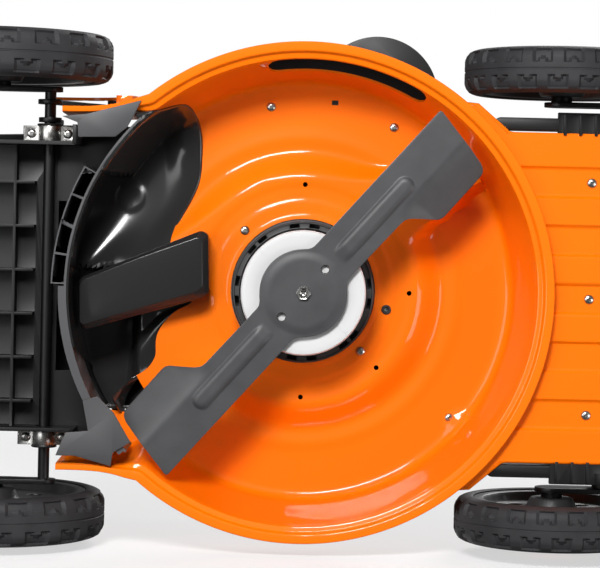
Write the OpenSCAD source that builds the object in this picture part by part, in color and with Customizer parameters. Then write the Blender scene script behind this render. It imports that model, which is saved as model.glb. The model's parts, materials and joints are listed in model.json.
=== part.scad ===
// Walk-behind rotary mower with a pressed-steel deck and a battery-driven motor.
// +X is forward, +Y is the operator's left, +Z is up, and the ground is z = 0.
// The origin lies on the ground under the middle of the whole machine.
// Sub-parts are drawn from the blade's axis, which stands at x = blade_x.

/* [Layout] */
// Distance of the blade's axis ahead of the origin
blade_x = 386.5; // [380:0.5:394]
// Height of the deck's rim above the ground
rim_z = 50; // [46:1:60]
// Swing radius of the wheel cranks, the same at both ends
crank_r = 53; // [48:1:60]
// Swing of the height setting to each side of its middle notch, in degrees
height_swing = 27; // [20:1:30]

/* [Deck] */
// Outer radius of the deck's round rim
deck_r = 258.5; // [250:0.5:270]
// Height of the deck from its rim to the underside of its ceiling
deck_h = 100; // [92:1:110]
// Thickness of the deck's steel sheet
sheet_t = 2; // [1.5:0.1:3]
// Width of the flat lip around the rim
lip_w = 9; // [6:0.5:12]
// Width of the pressed band between the lip and the wall
band_w = 8; // [5:0.5:12]
// Height of the step between the lip and the band
band_h = 6; // [3:0.5:10]
// How far the wall leans in from its foot to its head
wall_lean = 17; // [8:1:24]
// Radius of the shoulder between the wall and the ceiling
shoulder_r = 10; // [6:1:16]
// Outer radius of the step down to the motor plate
step_outer_r = 152; // [148:1:156]
// Outer radius of the flat motor plate
step_inner_r = 118; // [112:1:124]
// Drop from the ceiling to the motor plate
step_drop = 16; // [10:1:20]
// Radius of the opening for the motor's lower ring
motor_hole_r = 76; // [75.5:0.5:78]

/* [Accessory holes] */
// Radius of the circle that the open holes of the motor plate lie on
spare_hole_circle_r = 113; // [110:0.5:114]
// Radius of each open hole of the motor plate
spare_hole_r = 2.25; // [1.5:0.05:2.6]

/* [Apron and skirts] */
// Half the width of the front apron
apron_half_w = 168; // [166:1:170]
// Height of the apron's underside above the rim
apron_rise = 10; // [8:1:12]
// Distance of the apron's front edge from the blade's axis
apron_front_x = 345; // [343:1:350]
// Number of pressed beads along the apron
bead_count = 5; // [3:1:5]
// Spacing of the beads
bead_pitch = 60; // [52:1:62]
// Width of one bead
bead_w = 30; // [20:1:34]
// Height of one bead
bead_h = 3; // [1:0.5:4]
// Half the width over the rear skirts
skirt_half_w = 183; // [182:0.5:184]
// Distance of the skirts' rear ends behind the blade's axis
skirt_rear_x = 251; // [248:1:253]
// Distance of the deck's rear top edge behind the blade's axis
deck_rear_x = 238; // [234:1:240]

/* [Side discharge slot] */
// Angle of the slot's middle to the right of straight ahead, in degrees
slot_mid_a = 79.5; // [76:0.5:82]
// Angle that the slot spans, in degrees
slot_span_a = 41; // [34:1:44]
// Height of the slot's lower edge above the rim
slot_low = 9; // [8:0.5:12]
// Height of the slot
slot_h = 45; // [38:1:48]

/* [Blade] */
// Length of the cutting blade from tip to tip
blade_len = 470; // [440:1:474]
// Thickness of the blade
blade_t = 3; // [2.5:0.1:4]
// Height of the blade's underside above the rim
blade_rise = 10; // [9:0.5:14]
// Width of the blade's neck
blade_neck_w = 49; // [44:1:54]
// Radius of the blade's round middle
blade_hub_r = 45; // [42:1:48]
// Angle at which the blade is parked, to the right of straight ahead
blade_park_a = 48.5; // [0:0.5:90]
// Angle that the blade's trailing wings are bent up, in degrees
wing_a = 28; // [10:1:34]

/* [Motor] */
// Radius of the fan disc above the blade
fan_r = 65; // [60:0.5:70]
// Radius of the slotted ring around the fan
motor_ring_r = 74; // [72:0.5:75]
// Depth of the slotted ring below the motor plate
motor_ring_h = 42; // [38:1:44]
// Radius of the motor's can
motor_can_r = 70; // [66:1:71]
// Height of the motor's can
motor_can_h = 88; // [80:1:92]
// Radius of the motor's shaft
shaft_r = 8; // [7:0.5:10]

/* [Wheels] */
// Radius of the front wheels
front_wheel_r = 102; // [98:1:106]
// Width of the front wheels
front_wheel_w = 47; // [42:1:48]
// Distance of the front wheels' axis ahead of the blade's axis
front_wheel_x = 266; // [262:1:268]
// Distance from the middle to a front wheel's inner face
front_wheel_y = 210; // [208:0.5:212]
// Radius of the rear wheels
rear_wheel_r = 118; // [114:1:120]
// Width of the rear wheels
rear_wheel_w = 50; // [44:1:52]
// Distance of the rear wheels' axis behind the blade's axis
rear_wheel_x = 323; // [321:1:326]
// Distance from the middle to a rear wheel's inner face
rear_wheel_y = 214; // [213:0.5:216]
// Radial thickness of the tyres
tyre_t = 20; // [14:1:24]
// Radius of the wheel stubs
stub_r = 6; // [5:0.5:7]

/* [Axles] */
// Radius of the rear axle rod
rear_rod_r = 6; // [5:0.5:7]
// Radius of the front axle tube
front_rod_r = 11; // [9:0.5:12]
// Thickness of the crank plates
crank_t = 5; // [3:0.5:5]
// Length of the arms that the link rod joins
link_arm = 66; // [64:1:70]
// Radius of the pins in those arms
link_pin_r = 4; // [3:0.5:5]
// Radius of the notched height quadrant
quadrant_r = 112; // [108:1:116]
// Number of height settings
notch_count = 5; // [3:1:7]
// Lean of the height lever forward of upright at its middle notch
lever_lean = 28; // [27:0.5:30]

/* [Handle] */
// Angle of the handle above the ground, in degrees
handle_a = 42; // [38:1:46]
// Length of the lower handle tubes between their pivots
lower_len = 640; // [620:5:660]
// Length of the upper handle from its pivots to its grip
upper_len = 500; // [480:5:510]
// Radius of the handle tubes
tube_r = 12.5; // [11:0.5:13]
// Wall of the handle tubes
tube_t = 1.5; // [1:0.25:2.5]
// Distance from the middle to the axis of a lower tube
lower_tube_y = 150; // [149.5:0.5:151]
// Height of the handle's pivots above the ground
handle_pivot_z = 200; // [196:1:206]
// Distance of the handle's pivots behind the blade's axis
handle_pivot_x = 290; // [286:1:294]
// Radius of the handle's corners
handle_bend_r = 60; // [45:5:75]
// Radius of the foam grip
grip_r = 16.5; // [15:0.5:18]
// Length of the foam grip
grip_len = 210; // [160:10:220]
// Length of the bail lever's arms
bail_len = 130; // [120:1:140]
// Radius of the bail lever's rod
bail_r = 4; // [3:0.5:5]
// Angle of the released bail lever from the handle
bail_open_a = 35; // [32:1:40]

/* [Covers and battery] */
// Half the width of the motor hood
hood_half_w = 126; // [122:1:128]
// Height of the hood above the ceiling
hood_h = 84; // [84:1:92]
// Wall of the plastic covers
cover_t = 3; // [2:0.25:3.5]
// Length of the battery pack, front to back
battery_len = 90; // [80:1:92]
// Width of the battery pack
battery_w = 114; // [100:1:116]
// Height of the battery pack
battery_h = 88; // [80:1:96]

/* [Clearances] */
// Running clearance of every turning fit, on the radius
run_c = 0.05; // [0.02:0.01:0.09]
// Gap between parts that pass or slide past each other
gap = 0.4; // [0.3:0.05:0.8]

/* [Hidden] */
$fn = 72;
eps = 0.01;

// Heights
ceiling_z = rim_z + deck_h;
deck_top_z = ceiling_z + sheet_t;
plate_z = ceiling_z - step_drop;
plate_top_z = plate_z + sheet_t;
apron_z = rim_z + apron_rise;
apron_top_z = apron_z + sheet_t;
blade_z = rim_z + blade_rise;

// The wall of the deck: its foot, its head and its inner radius at any height
wall_foot_r = deck_r - lip_w - band_w;
wall_foot_z = rim_z + band_h;
wall_head_r = wall_foot_r - wall_lean;
wall_head_z = ceiling_z - shoulder_r;
function wall_r(z) =
    wall_foot_r - wall_lean * (z - wall_foot_z) / (wall_head_z - wall_foot_z);
function wall_out_r(z) = wall_r(z) + sheet_t * 1.02;
flat_r = wall_head_r - shoulder_r;

// The apron's turned-up front lip
lip_h = 16;

// Axles and cranks
front_rod_x = front_wheel_x + crank_r;
rear_rod_x = -(rear_wheel_x - crank_r);
front_rod_z = front_wheel_r;
rear_rod_z = rear_wheel_r;
front_rod_end = front_wheel_y - 11;
rear_rod_end = rear_wheel_y - 10;
arm_y = 177;
arm_t = 5;
link_y = arm_y - arm_t - gap;
link_t = 5;

// The deck's sector that is open to the rear, in degrees from straight ahead
open_from_a = 134;
open_to_a = 232;

// The deck's flat skirts begin this far behind the blade's axis
skirt_front_x = 130;

// Rear body, above and behind the rear axle
seat_y = 160;
seat_w = 16;
bush_r = 9.5;
bush_w = 22;
clamp_t = 2.5;
skid_t = 3;
tab_x = 19;
chute_floor_z = rear_rod_z + 12;
chute_half_w = 131;
body_rear_x = 335;
roof_front_x = 118;
roof_rear_z = 228;
ring_r = 246;
ring_gap = 13.5;
cell_from_a = 181;
cell_to_a = 209;
cell_count = 4;
band_out = 6;

// Height quadrant and lever
lever_y = 196;
lever_t = 5;
quadrant_y = 203.5;
quadrant_t = 3;
lever_strip_r = 116;

// Handle
upper_tube_y = lower_tube_y + 2 * tube_r + 1;
pivot_pin_r = 4;
end_over = 18;
bail_y = upper_tube_y - tube_r - bail_r - 3;
bail_bend_r = 22;
bail_s = upper_len - bail_len;

// Hood and battery
hood_top_z = deck_top_z + hood_h;
hood_rear_x = 112;
hood_front_r = 211;
bay_x = 84;
bay_wall = 3.5;
bay_floor = 6;

// Side discharge
slot_low_z = rim_z + slot_low;
slot_high_z = slot_low_z + slot_h;
flap_r = deck_r - 11;
flap_tab_a = 9;
flap_tab_r = 63;
flap_tab_reach = 279;
flap_t = 2.5;
chute_roof_z = slot_high_z + 9;
side_pin_r = 3;

// Screw places, from the blade's axis
motor_screw_r = 89;
outer_screws = [[-38, -195], [93.5, -176], [160, 133]];
apron_screws_y = [-120, 0, 120];
apron_screw_x = 295;
screw_r = 2.5;
screw_head_r = 5;

// ---------------------------------------------------------------- helpers
module at_blade() translate([blade_x, 0, 0]) children();

module mirror_y() {
    children();
    mirror([0, 1, 0]) children();
}

// Offsets an open line of points by d, mitred at its corners.
function unit(v) = v / norm(v);
function left_of(v) = [-v[1], v[0]];
function seg_n(p, i) = left_of(unit(p[i + 1] - p[i]));
function mitre(p, i) =
    let (a = seg_n(p, max(i - 1, 0)), b = seg_n(p, min(i, len(p) - 2)))
    (a + b) / (1 + a * b);
function offset_line(p, d) = [for (i = [0 : len(p) - 1]) p[i] + d * mitre(p, i)];
function reversed(p) = [for (i = [len(p) - 1 : -1 : 0]) p[i]];
function sheet_outline(p, d) = concat(p, reversed(offset_line(p, d)));
function arc_points(c, r, a0, a1, n) =
    [for (i = [0 : n]) c + r * [cos(a0 + (a1 - a0) * i / n), sin(a0 + (a1 - a0) * i / n)]];

// A round-ended bar between two points, drawn flat.
module bar2d(a, b, r) {
    v = b - a;
    translate(a) circle(r);
    translate(b) circle(r);
    translate(a) rotate(atan2(v[1], v[0])) translate([0, -r]) square([norm(v), 2 * r]);
}

// Stands a flat drawing in the x-z plane, from y0 to y0 + t.
module upright(y0, t)
    translate([0, y0 + t, 0]) rotate([90, 0, 0]) linear_extrude(t) children();

// A cylinder along Y from y0 to y1 at (x, z).
module rod_y(x, z, r, y0, y1)
    translate([x, y0, z]) rotate([-90, 0, 0]) cylinder(r = r, h = y1 - y0);

// A block between two corners.
module block(a, b) translate(a) cube(b - a);

// A tube along -X from s0 to s1, closed by nothing.
module tube_x(s0, s1, r, t)
    translate([-s0, 0, 0]) rotate([0, -90, 0]) difference() {
        cylinder(r = r, h = s1 - s0);
        translate([0, 0, -1]) cylinder(r = r - t, h = s1 - s0 + 2);
    }

module screw_up(x, y, z, len)
    translate([x, y, z]) {
        translate([0, 0, -2.5]) cylinder(r = screw_head_r, h = 2.5);
        cylinder(r = screw_r, h = len);
    }

// ---------------------------------------------------------------- the deck
deck_line = concat(
    [[deck_r, rim_z], [deck_r - lip_w, rim_z],
     [deck_r - lip_w - 2, rim_z + band_h - 1], [wall_foot_r, wall_foot_z]],
    arc_points([wall_head_r - shoulder_r, wall_head_z], shoulder_r, 0, 90, 6),
    [[step_outer_r, ceiling_z], [step_inner_r, plate_z], [motor_hole_r, plate_z]]
);

module rear_opening() {
    // the wall is open from the left rear to the right rear
    rotate([0, 0, open_from_a]) rotate_extrude(angle = open_to_a - open_from_a)
        translate([flat_r - 2, rim_z - 5]) square([deck_r, deck_h + 2]);
    // the ceiling is open over the discharge duct
    translate([0, 0, plate_z - 5]) linear_extrude(step_drop + 20)
        polygon([[-300, -chute_half_w - 4], [-roof_front_x - 6, -chute_half_w - 4],
                 [-roof_front_x - 6, -110], [-roof_front_x - 26, -55],
                 [-roof_front_x - 26, 40], [-158, 62], [-158, 80], [-198, 117], [-300, 117]]);
}

module skirts() difference() {
    mirror_y() {
        block([-skirt_rear_x, skirt_half_w - sheet_t, rim_z],
              [-skirt_front_x, skirt_half_w, ceiling_z + 1]);
        block([-skirt_rear_x, skirt_half_w - sheet_t, rim_z],
              [-186, skirt_half_w + 4, rim_z + sheet_t]);
    }
    // they end against the round wall
    translate([0, 0, rim_z - 1]) cylinder(r = wall_foot_r, h = band_h + 1 + eps);
    translate([0, 0, wall_foot_z])
        cylinder(r1 = wall_foot_r, r2 = wall_head_r, h = wall_head_z - wall_foot_z);
}

module apron_outline()
    polygon([[150, apron_half_w + 30], [175, apron_half_w + 29], [208, apron_half_w],
             [apron_front_x, apron_half_w], [apron_front_x, -apron_half_w],
             [208, -apron_half_w], [175, -apron_half_w - 29], [150, -apron_half_w - 30]]);

module bead_outline(w)
    for (i = [0 : bead_count - 1])
        translate([0, (i - (bead_count - 1) / 2) * bead_pitch])
            bar2d([deck_r + 22, 0], [apron_front_x - 22, 0], w / 2);

module apron() {
    difference() {
        translate([0, 0, apron_z]) linear_extrude(sheet_t) apron_outline();
        translate([0, 0, apron_z - 1]) cylinder(r = wall_r(apron_z) + 1, h = 10);
        translate([0, 0, apron_z - 1]) linear_extrude(sheet_t + 2) bead_outline(bead_w);
    }
    // the beads stand up from the sheet
    translate([0, 0, apron_z]) difference() {
        linear_extrude(bead_h + sheet_t) bead_outline(bead_w);
        translate([0, 0, -1]) linear_extrude(bead_h + 1) bead_outline(bead_w - 2 * sheet_t);
    }
    block([apron_front_x - sheet_t, -apron_half_w, apron_z],
          [apron_front_x, apron_half_w, apron_z + lip_h]);
}

module slot_cut()
    rotate([0, 0, -slot_mid_a - slot_span_a / 2]) rotate_extrude(angle = slot_span_a)
        translate([wall_head_r - 5, slot_low_z]) square([60, slot_h]);

module deck_holes() {
    for (a = [0, 45, 90, 270]) rotate([0, 0, a])
        translate([spare_hole_circle_r, 0, plate_z - 1]) cylinder(r = spare_hole_r, h = sheet_t + 2);
    for (a = [45 : 90 : 315]) rotate([0, 0, a])
        translate([motor_screw_r, 0, plate_z - 1]) cylinder(r = screw_r, h = sheet_t + 2);
    for (p = outer_screws)
        translate([p[0], p[1], ceiling_z - 1]) cylinder(r = screw_r, h = sheet_t + 2);
    for (y = apron_screws_y)
        translate([apron_screw_x, y, apron_z - 1]) cylinder(r = screw_r, h = bead_h + sheet_t + 2);
}

module deck_shell() color("darkorange") at_blade() difference() {
    union() {
        difference() {
            rotate_extrude($fn = 144) polygon(sheet_outline(deck_line, -sheet_t));
            rear_opening();
        }
        difference() {
            translate([0, 0, ceiling_z]) linear_extrude(sheet_t)
                polygon([[-deck_rear_x, -skirt_half_w], [-deck_rear_x, skirt_half_w],
                         [-skirt_front_x, skirt_half_w], [-skirt_front_x, -skirt_half_w]]);
            rear_opening();
            translate([0, 0, plate_z]) cylinder(r = flat_r - 1, h = 40);
        }
        skirts();
        apron();
    }
    slot_cut();
    deck_holes();
}

// ---------------------------------------------------------------- rear body
module rear_body() color("#1d1d1d") at_blade() difference() {
    union() {
        mirror_y() {
            // side walls of the chute and the seats of the axle bushes
            block([-body_rear_x, seat_y - 12, 90], [-236, seat_y - 8, ceiling_z]);
            block([rear_rod_x - 28, seat_y - 8, rear_rod_z], [rear_rod_x + 28, seat_y + 8, ceiling_z]);
            block([-240, seat_y - 12, rim_z], [-236, seat_y + 8, ceiling_z]);
        }
        // chute floor over the axle, with its ribs
        block([-body_rear_x, -seat_y + 9, chute_floor_z],
              [-ring_r - ring_gap - 1, seat_y - 9, chute_floor_z + cover_t]);
        for (y = [-110, -64, -18, 28, 74, 120])
            block([-body_rear_x, y, chute_floor_z - 22], [rear_rod_x - 14, y + 3, chute_floor_z]);
        block([-306, -seat_y + 9, chute_floor_z - 22], [-303, seat_y - 9, chute_floor_z]);
    }
    rod_y(rear_rod_x, rear_rod_z, bush_r, -200, 200);
    mirror_y() for (dx = [-tab_x, tab_x])
        translate([rear_rod_x + dx, seat_y, rear_rod_z - 1]) cylinder(r = screw_r, h = 16);
    translate([0, 0, rim_z]) cylinder(r = ring_r + ring_gap + 0.5, h = 90);
}

// Skid plates under the deck's rear corners
module skid_plates() color("#58585a") at_blade() translate([0, 0, rim_z - skid_t]) linear_extrude(skid_t) {
    polygon([[-skirt_rear_x, -176], [-225, -179], [-170, -194], [-177, -179], [-184, -166],
             [-196, -156], [-234, -155], [-235, -170]]);
    polygon([[-241, 148], [-218, 146], [-224, 115], [-209, 110], [-192, 127], [-174, 157],
             [-192, 168], [-194, 182], [-231, 172], [-skirt_rear_x, 172]]);
}

module arc_wall(r0, r1, z0, z1, a0, a1)
    rotate([0, 0, a0]) rotate_extrude(angle = a1 - a0) translate([r0, z0]) square([r1 - r0, z1 - z0]);

module lattice_ring() color("dimgray") at_blade() {
    top_z = chute_floor_z + cover_t;
    pitch = (cell_to_a - cell_from_a) / cell_count;
    half_rib = 0.25;
    arc_wall(ring_r - 2.5, ring_r, rim_z, top_z, 137, 226);
    // a plain band on the left
    arc_wall(ring_r - eps, ring_r + band_out, rim_z, rim_z + 3, 137.5, cell_from_a - 0.5);
    // on the right, cells between two walls, open below
    difference() {
        arc_wall(ring_r - eps, ring_r + ring_gap, rim_z, top_z, cell_from_a, cell_to_a);
        for (i = [0 : cell_count - 1])
            arc_wall(ring_r, ring_r + ring_gap - 1.5, rim_z - 1, chute_floor_z,
                     cell_from_a + i * pitch + half_rib, cell_from_a + (i + 1) * pitch - half_rib);
    }
}

module duct_profile(d)
    polygon([[-roof_front_x - d, deck_top_z - 5], [-roof_front_x - d, deck_top_z + 8 - d],
             [-body_rear_x, roof_rear_z - d], [-body_rear_x, deck_top_z - 5]]);

module discharge_duct() color("#262626") at_blade() {
    difference() {
        upright(-chute_half_w, 2 * chute_half_w) duct_profile(0);
        upright(-chute_half_w + cover_t, 2 * (chute_half_w - cover_t))
            translate([0, -1]) duct_profile(cover_t);
        block([-400, -chute_half_w - 1, 0], [0, chute_half_w + 1, deck_top_z]);
        block([-400, -chute_half_w + cover_t, 0], [-body_rear_x + 5, chute_half_w - cover_t, roof_rear_z - cover_t]);
    }
    // cheeks below the deck's top edge
    mirror_y() block([-body_rear_x, chute_half_w - cover_t, chute_floor_z + cover_t],
                     [-deck_rear_x - 1, chute_half_w, deck_top_z]);
    // ears for the rear flap's pin
    mirror_y() difference() {
        upright(chute_half_w - cover_t, cover_t) {
            translate([-body_rear_x - 8, roof_rear_z]) circle(7);
            translate([-body_rear_x - 8, roof_rear_z - 7]) square([9, 14]);
        }
        rod_y(-body_rear_x - 8, roof_rear_z, side_pin_r, 100, 200);
    }
    // deflector down the right side of the mouth
    difference() {
        translate([-236, 0, 0]) rotate([90, 0, 90]) linear_extrude(94)
            polygon([[-skirt_half_w + 5, rim_z + 12], [-skirt_half_w + 8, rim_z + 10],
                     [-chute_half_w + 3, ceiling_z - 4], [-chute_half_w + 3, ceiling_z],
                     [-chute_half_w, ceiling_z]]);
        translate([0, 0, rim_z]) difference() {
            cylinder(r = 400, h = 200);
            translate([0, 0, -1]) cylinder(r = ring_r - 3.5, h = 300);
        }
        // it stops above the blade's turned-up wings
        cylinder(r = 400, h = blade_z + 24);
    }
}

module duct_cover() color("#1c1c1c") at_blade() difference() {
    translate([0, 0, 96]) linear_extrude(ceiling_z - 96 - gap)
        polygon([[-228, -8], [-168, -34], [-110, -58], [-103, -55], [-101, 2], [-108, 8], [-226, 44]]);
    translate([0, 0, 99]) linear_extrude(ceiling_z)
        polygon([[-225, -6], [-168, -31], [-111, -54], [-106, -52], [-104, 0], [-109, 5], [-223, 40]]);
    translate([0, 0, plate_z - gap]) cylinder(r = step_outer_r + 2, h = 60);
}

// ---------------------------------------------------------------- side discharge
module side_chute() color("#202020") at_blade() {
    half = slot_span_a / 2 + 2;
    rotate([0, 0, -slot_mid_a - half]) rotate_extrude(angle = 2 * half)
        polygon([[wall_out_r(chute_roof_z) + gap, chute_roof_z], [flap_r - 6, chute_roof_z],
                 [flap_r - 6, chute_roof_z + 3], [wall_out_r(chute_roof_z), chute_roof_z + 3]]);
    // pin ears
    rotate([0, 0, -slot_mid_a]) mirror_y() difference() {
        union() {
            block([wall_out_r(chute_roof_z) + 2, 34, chute_roof_z - 3],
                  [flap_r + 1, 38, chute_roof_z + 3]);
            rod_y(flap_r + 1, chute_roof_z, 6, 34, 38);
        }
        rod_y(flap_r + 1, chute_roof_z, side_pin_r, 0, 60);
    }
}

module side_flap() color("#181818") at_blade() rotate([0, 0, -slot_mid_a]) {
    half = slot_span_a / 2 + 1;
    door_low_z = rim_z + 10;
    difference() {
        union() {
            rotate([0, 0, -half]) rotate_extrude(angle = 2 * half)
                translate([flap_r - 1, door_low_z]) square([flap_t, chute_roof_z - 8 - door_low_z]);
            block([flap_r - 1.5, -30, chute_roof_z - 12], [flap_r + 1.5, 30, chute_roof_z]);
            rod_y(flap_r + 1, chute_roof_z, 6, -33, 33);
            // the finger tab that lifts it
            difference() {
                rotate([0, 0, flap_tab_a]) translate([flap_tab_reach - flap_tab_r, 0, rim_z + 26])
                    cylinder(r = flap_tab_r, h = 3.5);
                cylinder(r = flap_r, h = 200);
            }
        }
        rod_y(flap_r + 1, chute_roof_z, side_pin_r + run_c, -60, 60);
    }
}

module flap_pins() color("silver") at_blade() {
    rotate([0, 0, -slot_mid_a]) rod_y(flap_r + 1, chute_roof_z, side_pin_r, -39, 39);
    rod_y(-body_rear_x - 8, roof_rear_z, side_pin_r, -chute_half_w - 1, chute_half_w + 1);
}

module rear_flap() color("#1e1e1e") at_blade() difference() {
    union() {
        rod_y(-body_rear_x - 8, roof_rear_z, 6, -chute_half_w + 4, chute_half_w - 4);
        block([-body_rear_x - 12, -chute_half_w + 4, chute_floor_z - 6],
              [-body_rear_x - 9, chute_half_w - 4, roof_rear_z]);
        for (y = [-80, -27, 27, 80])
            block([-body_rear_x - 15, y - 2, chute_floor_z], [-body_rear_x - 12, y + 2, roof_rear_z - 12]);
    }
    rod_y(-body_rear_x - 8, roof_rear_z, side_pin_r + run_c, -200, 200);
}

// ---------------------------------------------------------------- the motor
module at_spindle() at_blade() children();

module motor_ring() color("#2f2f30") at_spindle() difference() {
    union() {
        translate([0, 0, plate_z - motor_ring_h]) cylinder(r = motor_ring_r, h = motor_ring_h);
        translate([0, 0, plate_z - 3]) cylinder(r = motor_ring_r + 8, h = 3 - eps);
    }
    translate([0, 0, plate_z - motor_ring_h - 1]) cylinder(r = motor_ring_r - 5, h = motor_ring_h + 2);
    for (a = [0 : 10 : 350]) rotate([0, 0, a])
        block([motor_ring_r - 7, -3, plate_z - motor_ring_h - 1],
              [motor_ring_r + 3, 3, plate_z - motor_ring_h + 14]);
    for (a = [45 : 90 : 315]) rotate([0, 0, a])
        translate([motor_screw_r, 0, 0]) cylinder(r = screw_head_r + 1, h = 200);
}

module motor_can() color("#3a3a3c") at_spindle() difference() {
    union() {
        translate([0, 0, plate_top_z]) cylinder(r = motor_can_r, h = motor_can_h);
        translate([0, 0, plate_top_z]) cylinder(r = motor_screw_r + 8, h = 6);
    }
    translate([0, 0, plate_top_z + 8]) cylinder(r = motor_can_r - 3, h = motor_can_h - 11);
    translate([0, 0, plate_top_z - 1]) cylinder(r = shaft_r + 10, h = 20);
    translate([0, 0, plate_top_z + motor_can_h - 4 - eps]) cylinder(r = shaft_r + 10, h = 3);
    for (a = [45 : 90 : 315]) rotate([0, 0, a])
        translate([motor_screw_r, 0, plate_top_z - 1]) cylinder(r = screw_r, h = 10);
}

module stator() color("chocolate") at_spindle() difference() {
    translate([0, 0, plate_top_z + 22]) cylinder(r = motor_can_r - 3, h = 44);
    translate([0, 0, plate_top_z]) cylinder(r = 41, h = 90);
    for (a = [0 : 30 : 330]) rotate([0, 0, a])
        translate([52, 0, plate_top_z]) cylinder(r = 7, h = 90);
}

module bearing(z)
    translate([0, 0, z]) difference() {
        cylinder(r = shaft_r + 10, h = 8);
        translate([0, 0, -1]) cylinder(r = shaft_r + run_c, h = 10);
    }

module motor_bearings() color("silver") at_spindle() {
    bearing(plate_top_z);
    bearing(plate_top_z + motor_can_h - 12 - eps);
}

module rotor_shaft() color("gainsboro") at_spindle() {
    translate([0, 0, blade_z + blade_t])
        cylinder(r = shaft_r, h = plate_top_z + motor_can_h - 4 - blade_z - blade_t - 1);
}

module rotor_core() color("slategray") at_spindle() difference() {
    translate([0, 0, plate_top_z + 20]) cylinder(r = 40, h = 48);
    translate([0, 0, plate_top_z]) cylinder(r = shaft_r, h = 90);
}

module fan_disc() color("gainsboro") at_spindle() difference() {
    union() {
        translate([0, 0, blade_z + 9]) cylinder(r = fan_r, h = 3);
        translate([0, 0, blade_z + blade_t]) cylinder(r = 24, h = 14);
        for (a = [0 : 30 : 330]) rotate([0, 0, a])
            block([22, -1, blade_z + 9], [fan_r - 3, 1, blade_z + 26]);
    }
    translate([0, 0, blade_z]) cylinder(r = shaft_r, h = 40);
}

// One arm of the blade, out along +X, with its wing on the -Y side bent up.
blade_tip = blade_len / 2;
wing_root_x = 152;
wing_w = 28;

module blade_arm() {
    translate([0, 0, blade_z]) linear_extrude(blade_t)
        polygon([[0, -blade_neck_w / 2], [128, -blade_neck_w / 2], [blade_tip - 4, -blade_neck_w / 2],
                 [blade_tip, blade_neck_w / 2], [0, blade_neck_w / 2]]);
    translate([0, -blade_neck_w / 2, blade_z]) rotate([-wing_a, 0, 0])
        linear_extrude(blade_t)
            polygon([[130, 0.4], [wing_root_x, -wing_w], [blade_tip - 14, -wing_w], [blade_tip - 4, 0.4]]);
}

module cutting_blade() color("#3c3c3c") at_spindle() rotate([0, 0, -blade_park_a]) difference() {
    union() {
        blade_arm();
        rotate([0, 0, 180]) blade_arm();
        translate([0, 0, blade_z]) cylinder(r = blade_hub_r, h = blade_t);
    }
    for (y = [-33, 33]) translate([0, y, blade_z - 1]) cylinder(r = 5, h = 10);
    translate([0, 0, blade_z - 1]) cylinder(r = 5, h = 10);
}

module blade_washer() color("silver") at_spindle() difference() {
    translate([0, 0, blade_z - 2]) cylinder(r = 10, h = 2);
    translate([0, 0, blade_z - 3]) cylinder(r = 5, h = 10);
}

module blade_bolt() color("silver") at_spindle() {
    translate([0, 0, blade_z - 8]) cylinder(r = 7.5, h = 6, $fn = 6);
    translate([0, 0, blade_z - 2 - eps]) cylinder(r = 5, h = 2 + blade_t + eps);
}

module controller() color("#24476b") at_blade()
    block([-hood_rear_x + cover_t, -44, deck_top_z + 20], [-hood_rear_x + cover_t + 22, 44, deck_top_z + 62]);

// ---------------------------------------------------------------- covers
module hood_foot(d) intersection() {
    circle(r = hood_front_r - d, $fn = 144);
    translate([-hood_rear_x + d, -hood_half_w + d]) square([400, 2 * (hood_half_w - d)]);
}

module bay_box(d, z0, z1)
    block([bay_x + d, -battery_w / 2 - gap - bay_wall + d, z0],
          [bay_x + 2 * (bay_wall + gap) + battery_len - d, battery_w / 2 + gap + bay_wall - d, z1]);

key_x = 30;
key_y = 96;

module motor_hood() color("#1b1b1b") at_blade() difference() {
    translate([0, 0, deck_top_z]) linear_extrude(hood_h) hood_foot(0);
    translate([0, 0, deck_top_z - 1]) linear_extrude(hood_h + 1 - cover_t) hood_foot(cover_t);
    bay_box(0, deck_top_z + 20, hood_top_z + 1);
    // socket for the safety key
    block([key_x - 9, key_y - 3, hood_top_z - 10], [key_x + 9, key_y + 3, hood_top_z + 1]);
    // cooling slots
    mirror_y() for (x = [-70 : 14 : 42])
        block([x, hood_half_w - 5, deck_top_z + 30], [x + 6, hood_half_w + 5, deck_top_z + 62]);
}

module battery_bay() color("#2a2a2a") at_blade() difference() {
    bay_box(0, hood_top_z - battery_h - bay_floor + 12, hood_top_z);
    bay_box(bay_wall, hood_top_z - battery_h + 12, hood_top_z + 1);
}

module battery_pack() color("#ff7a00") at_blade() difference() {
    translate([bay_x + bay_wall + gap, -battery_w / 2, hood_top_z - battery_h + 12])
        cube([battery_len, battery_w, battery_h]);
    // grip recesses
    for (x = [bay_x + bay_wall + gap - 1, bay_x + bay_wall + gap + battery_len - 5])
        block([x, -30, hood_top_z + 2], [x + 6, 30, hood_top_z + 8]);
}

module safety_key() color("orangered") at_blade() {
    block([key_x - 8, key_y - 2, hood_top_z - 9], [key_x + 8, key_y + 2, hood_top_z]);
    block([key_x - 13, key_y - 6, hood_top_z], [key_x + 13, key_y + 6, hood_top_z + 5]);
    upright(key_y - 3, 6) translate([key_x, hood_top_z + 12]) difference() {
        circle(11);
        circle(5);
        translate([-20, -31]) square([40, 24]);
    }
}

cowl_half_w = 148;
cowl_rear_x = 262;
carry_x = apron_front_x + 30;
carry_z = 128;
carry_r = 8;
carry_half_w = 62;

module cowl_profile(d)
    polygon([[cowl_rear_x + d, apron_top_z + bead_h], [cowl_rear_x + d, 128 - d * 0.6],
             [cowl_rear_x + 34, 146 - d], [apron_front_x - 22, 140 - d],
             [apron_front_x + 4 - d, 112], [apron_front_x + 6 - d, apron_top_z + bead_h]]);

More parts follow.
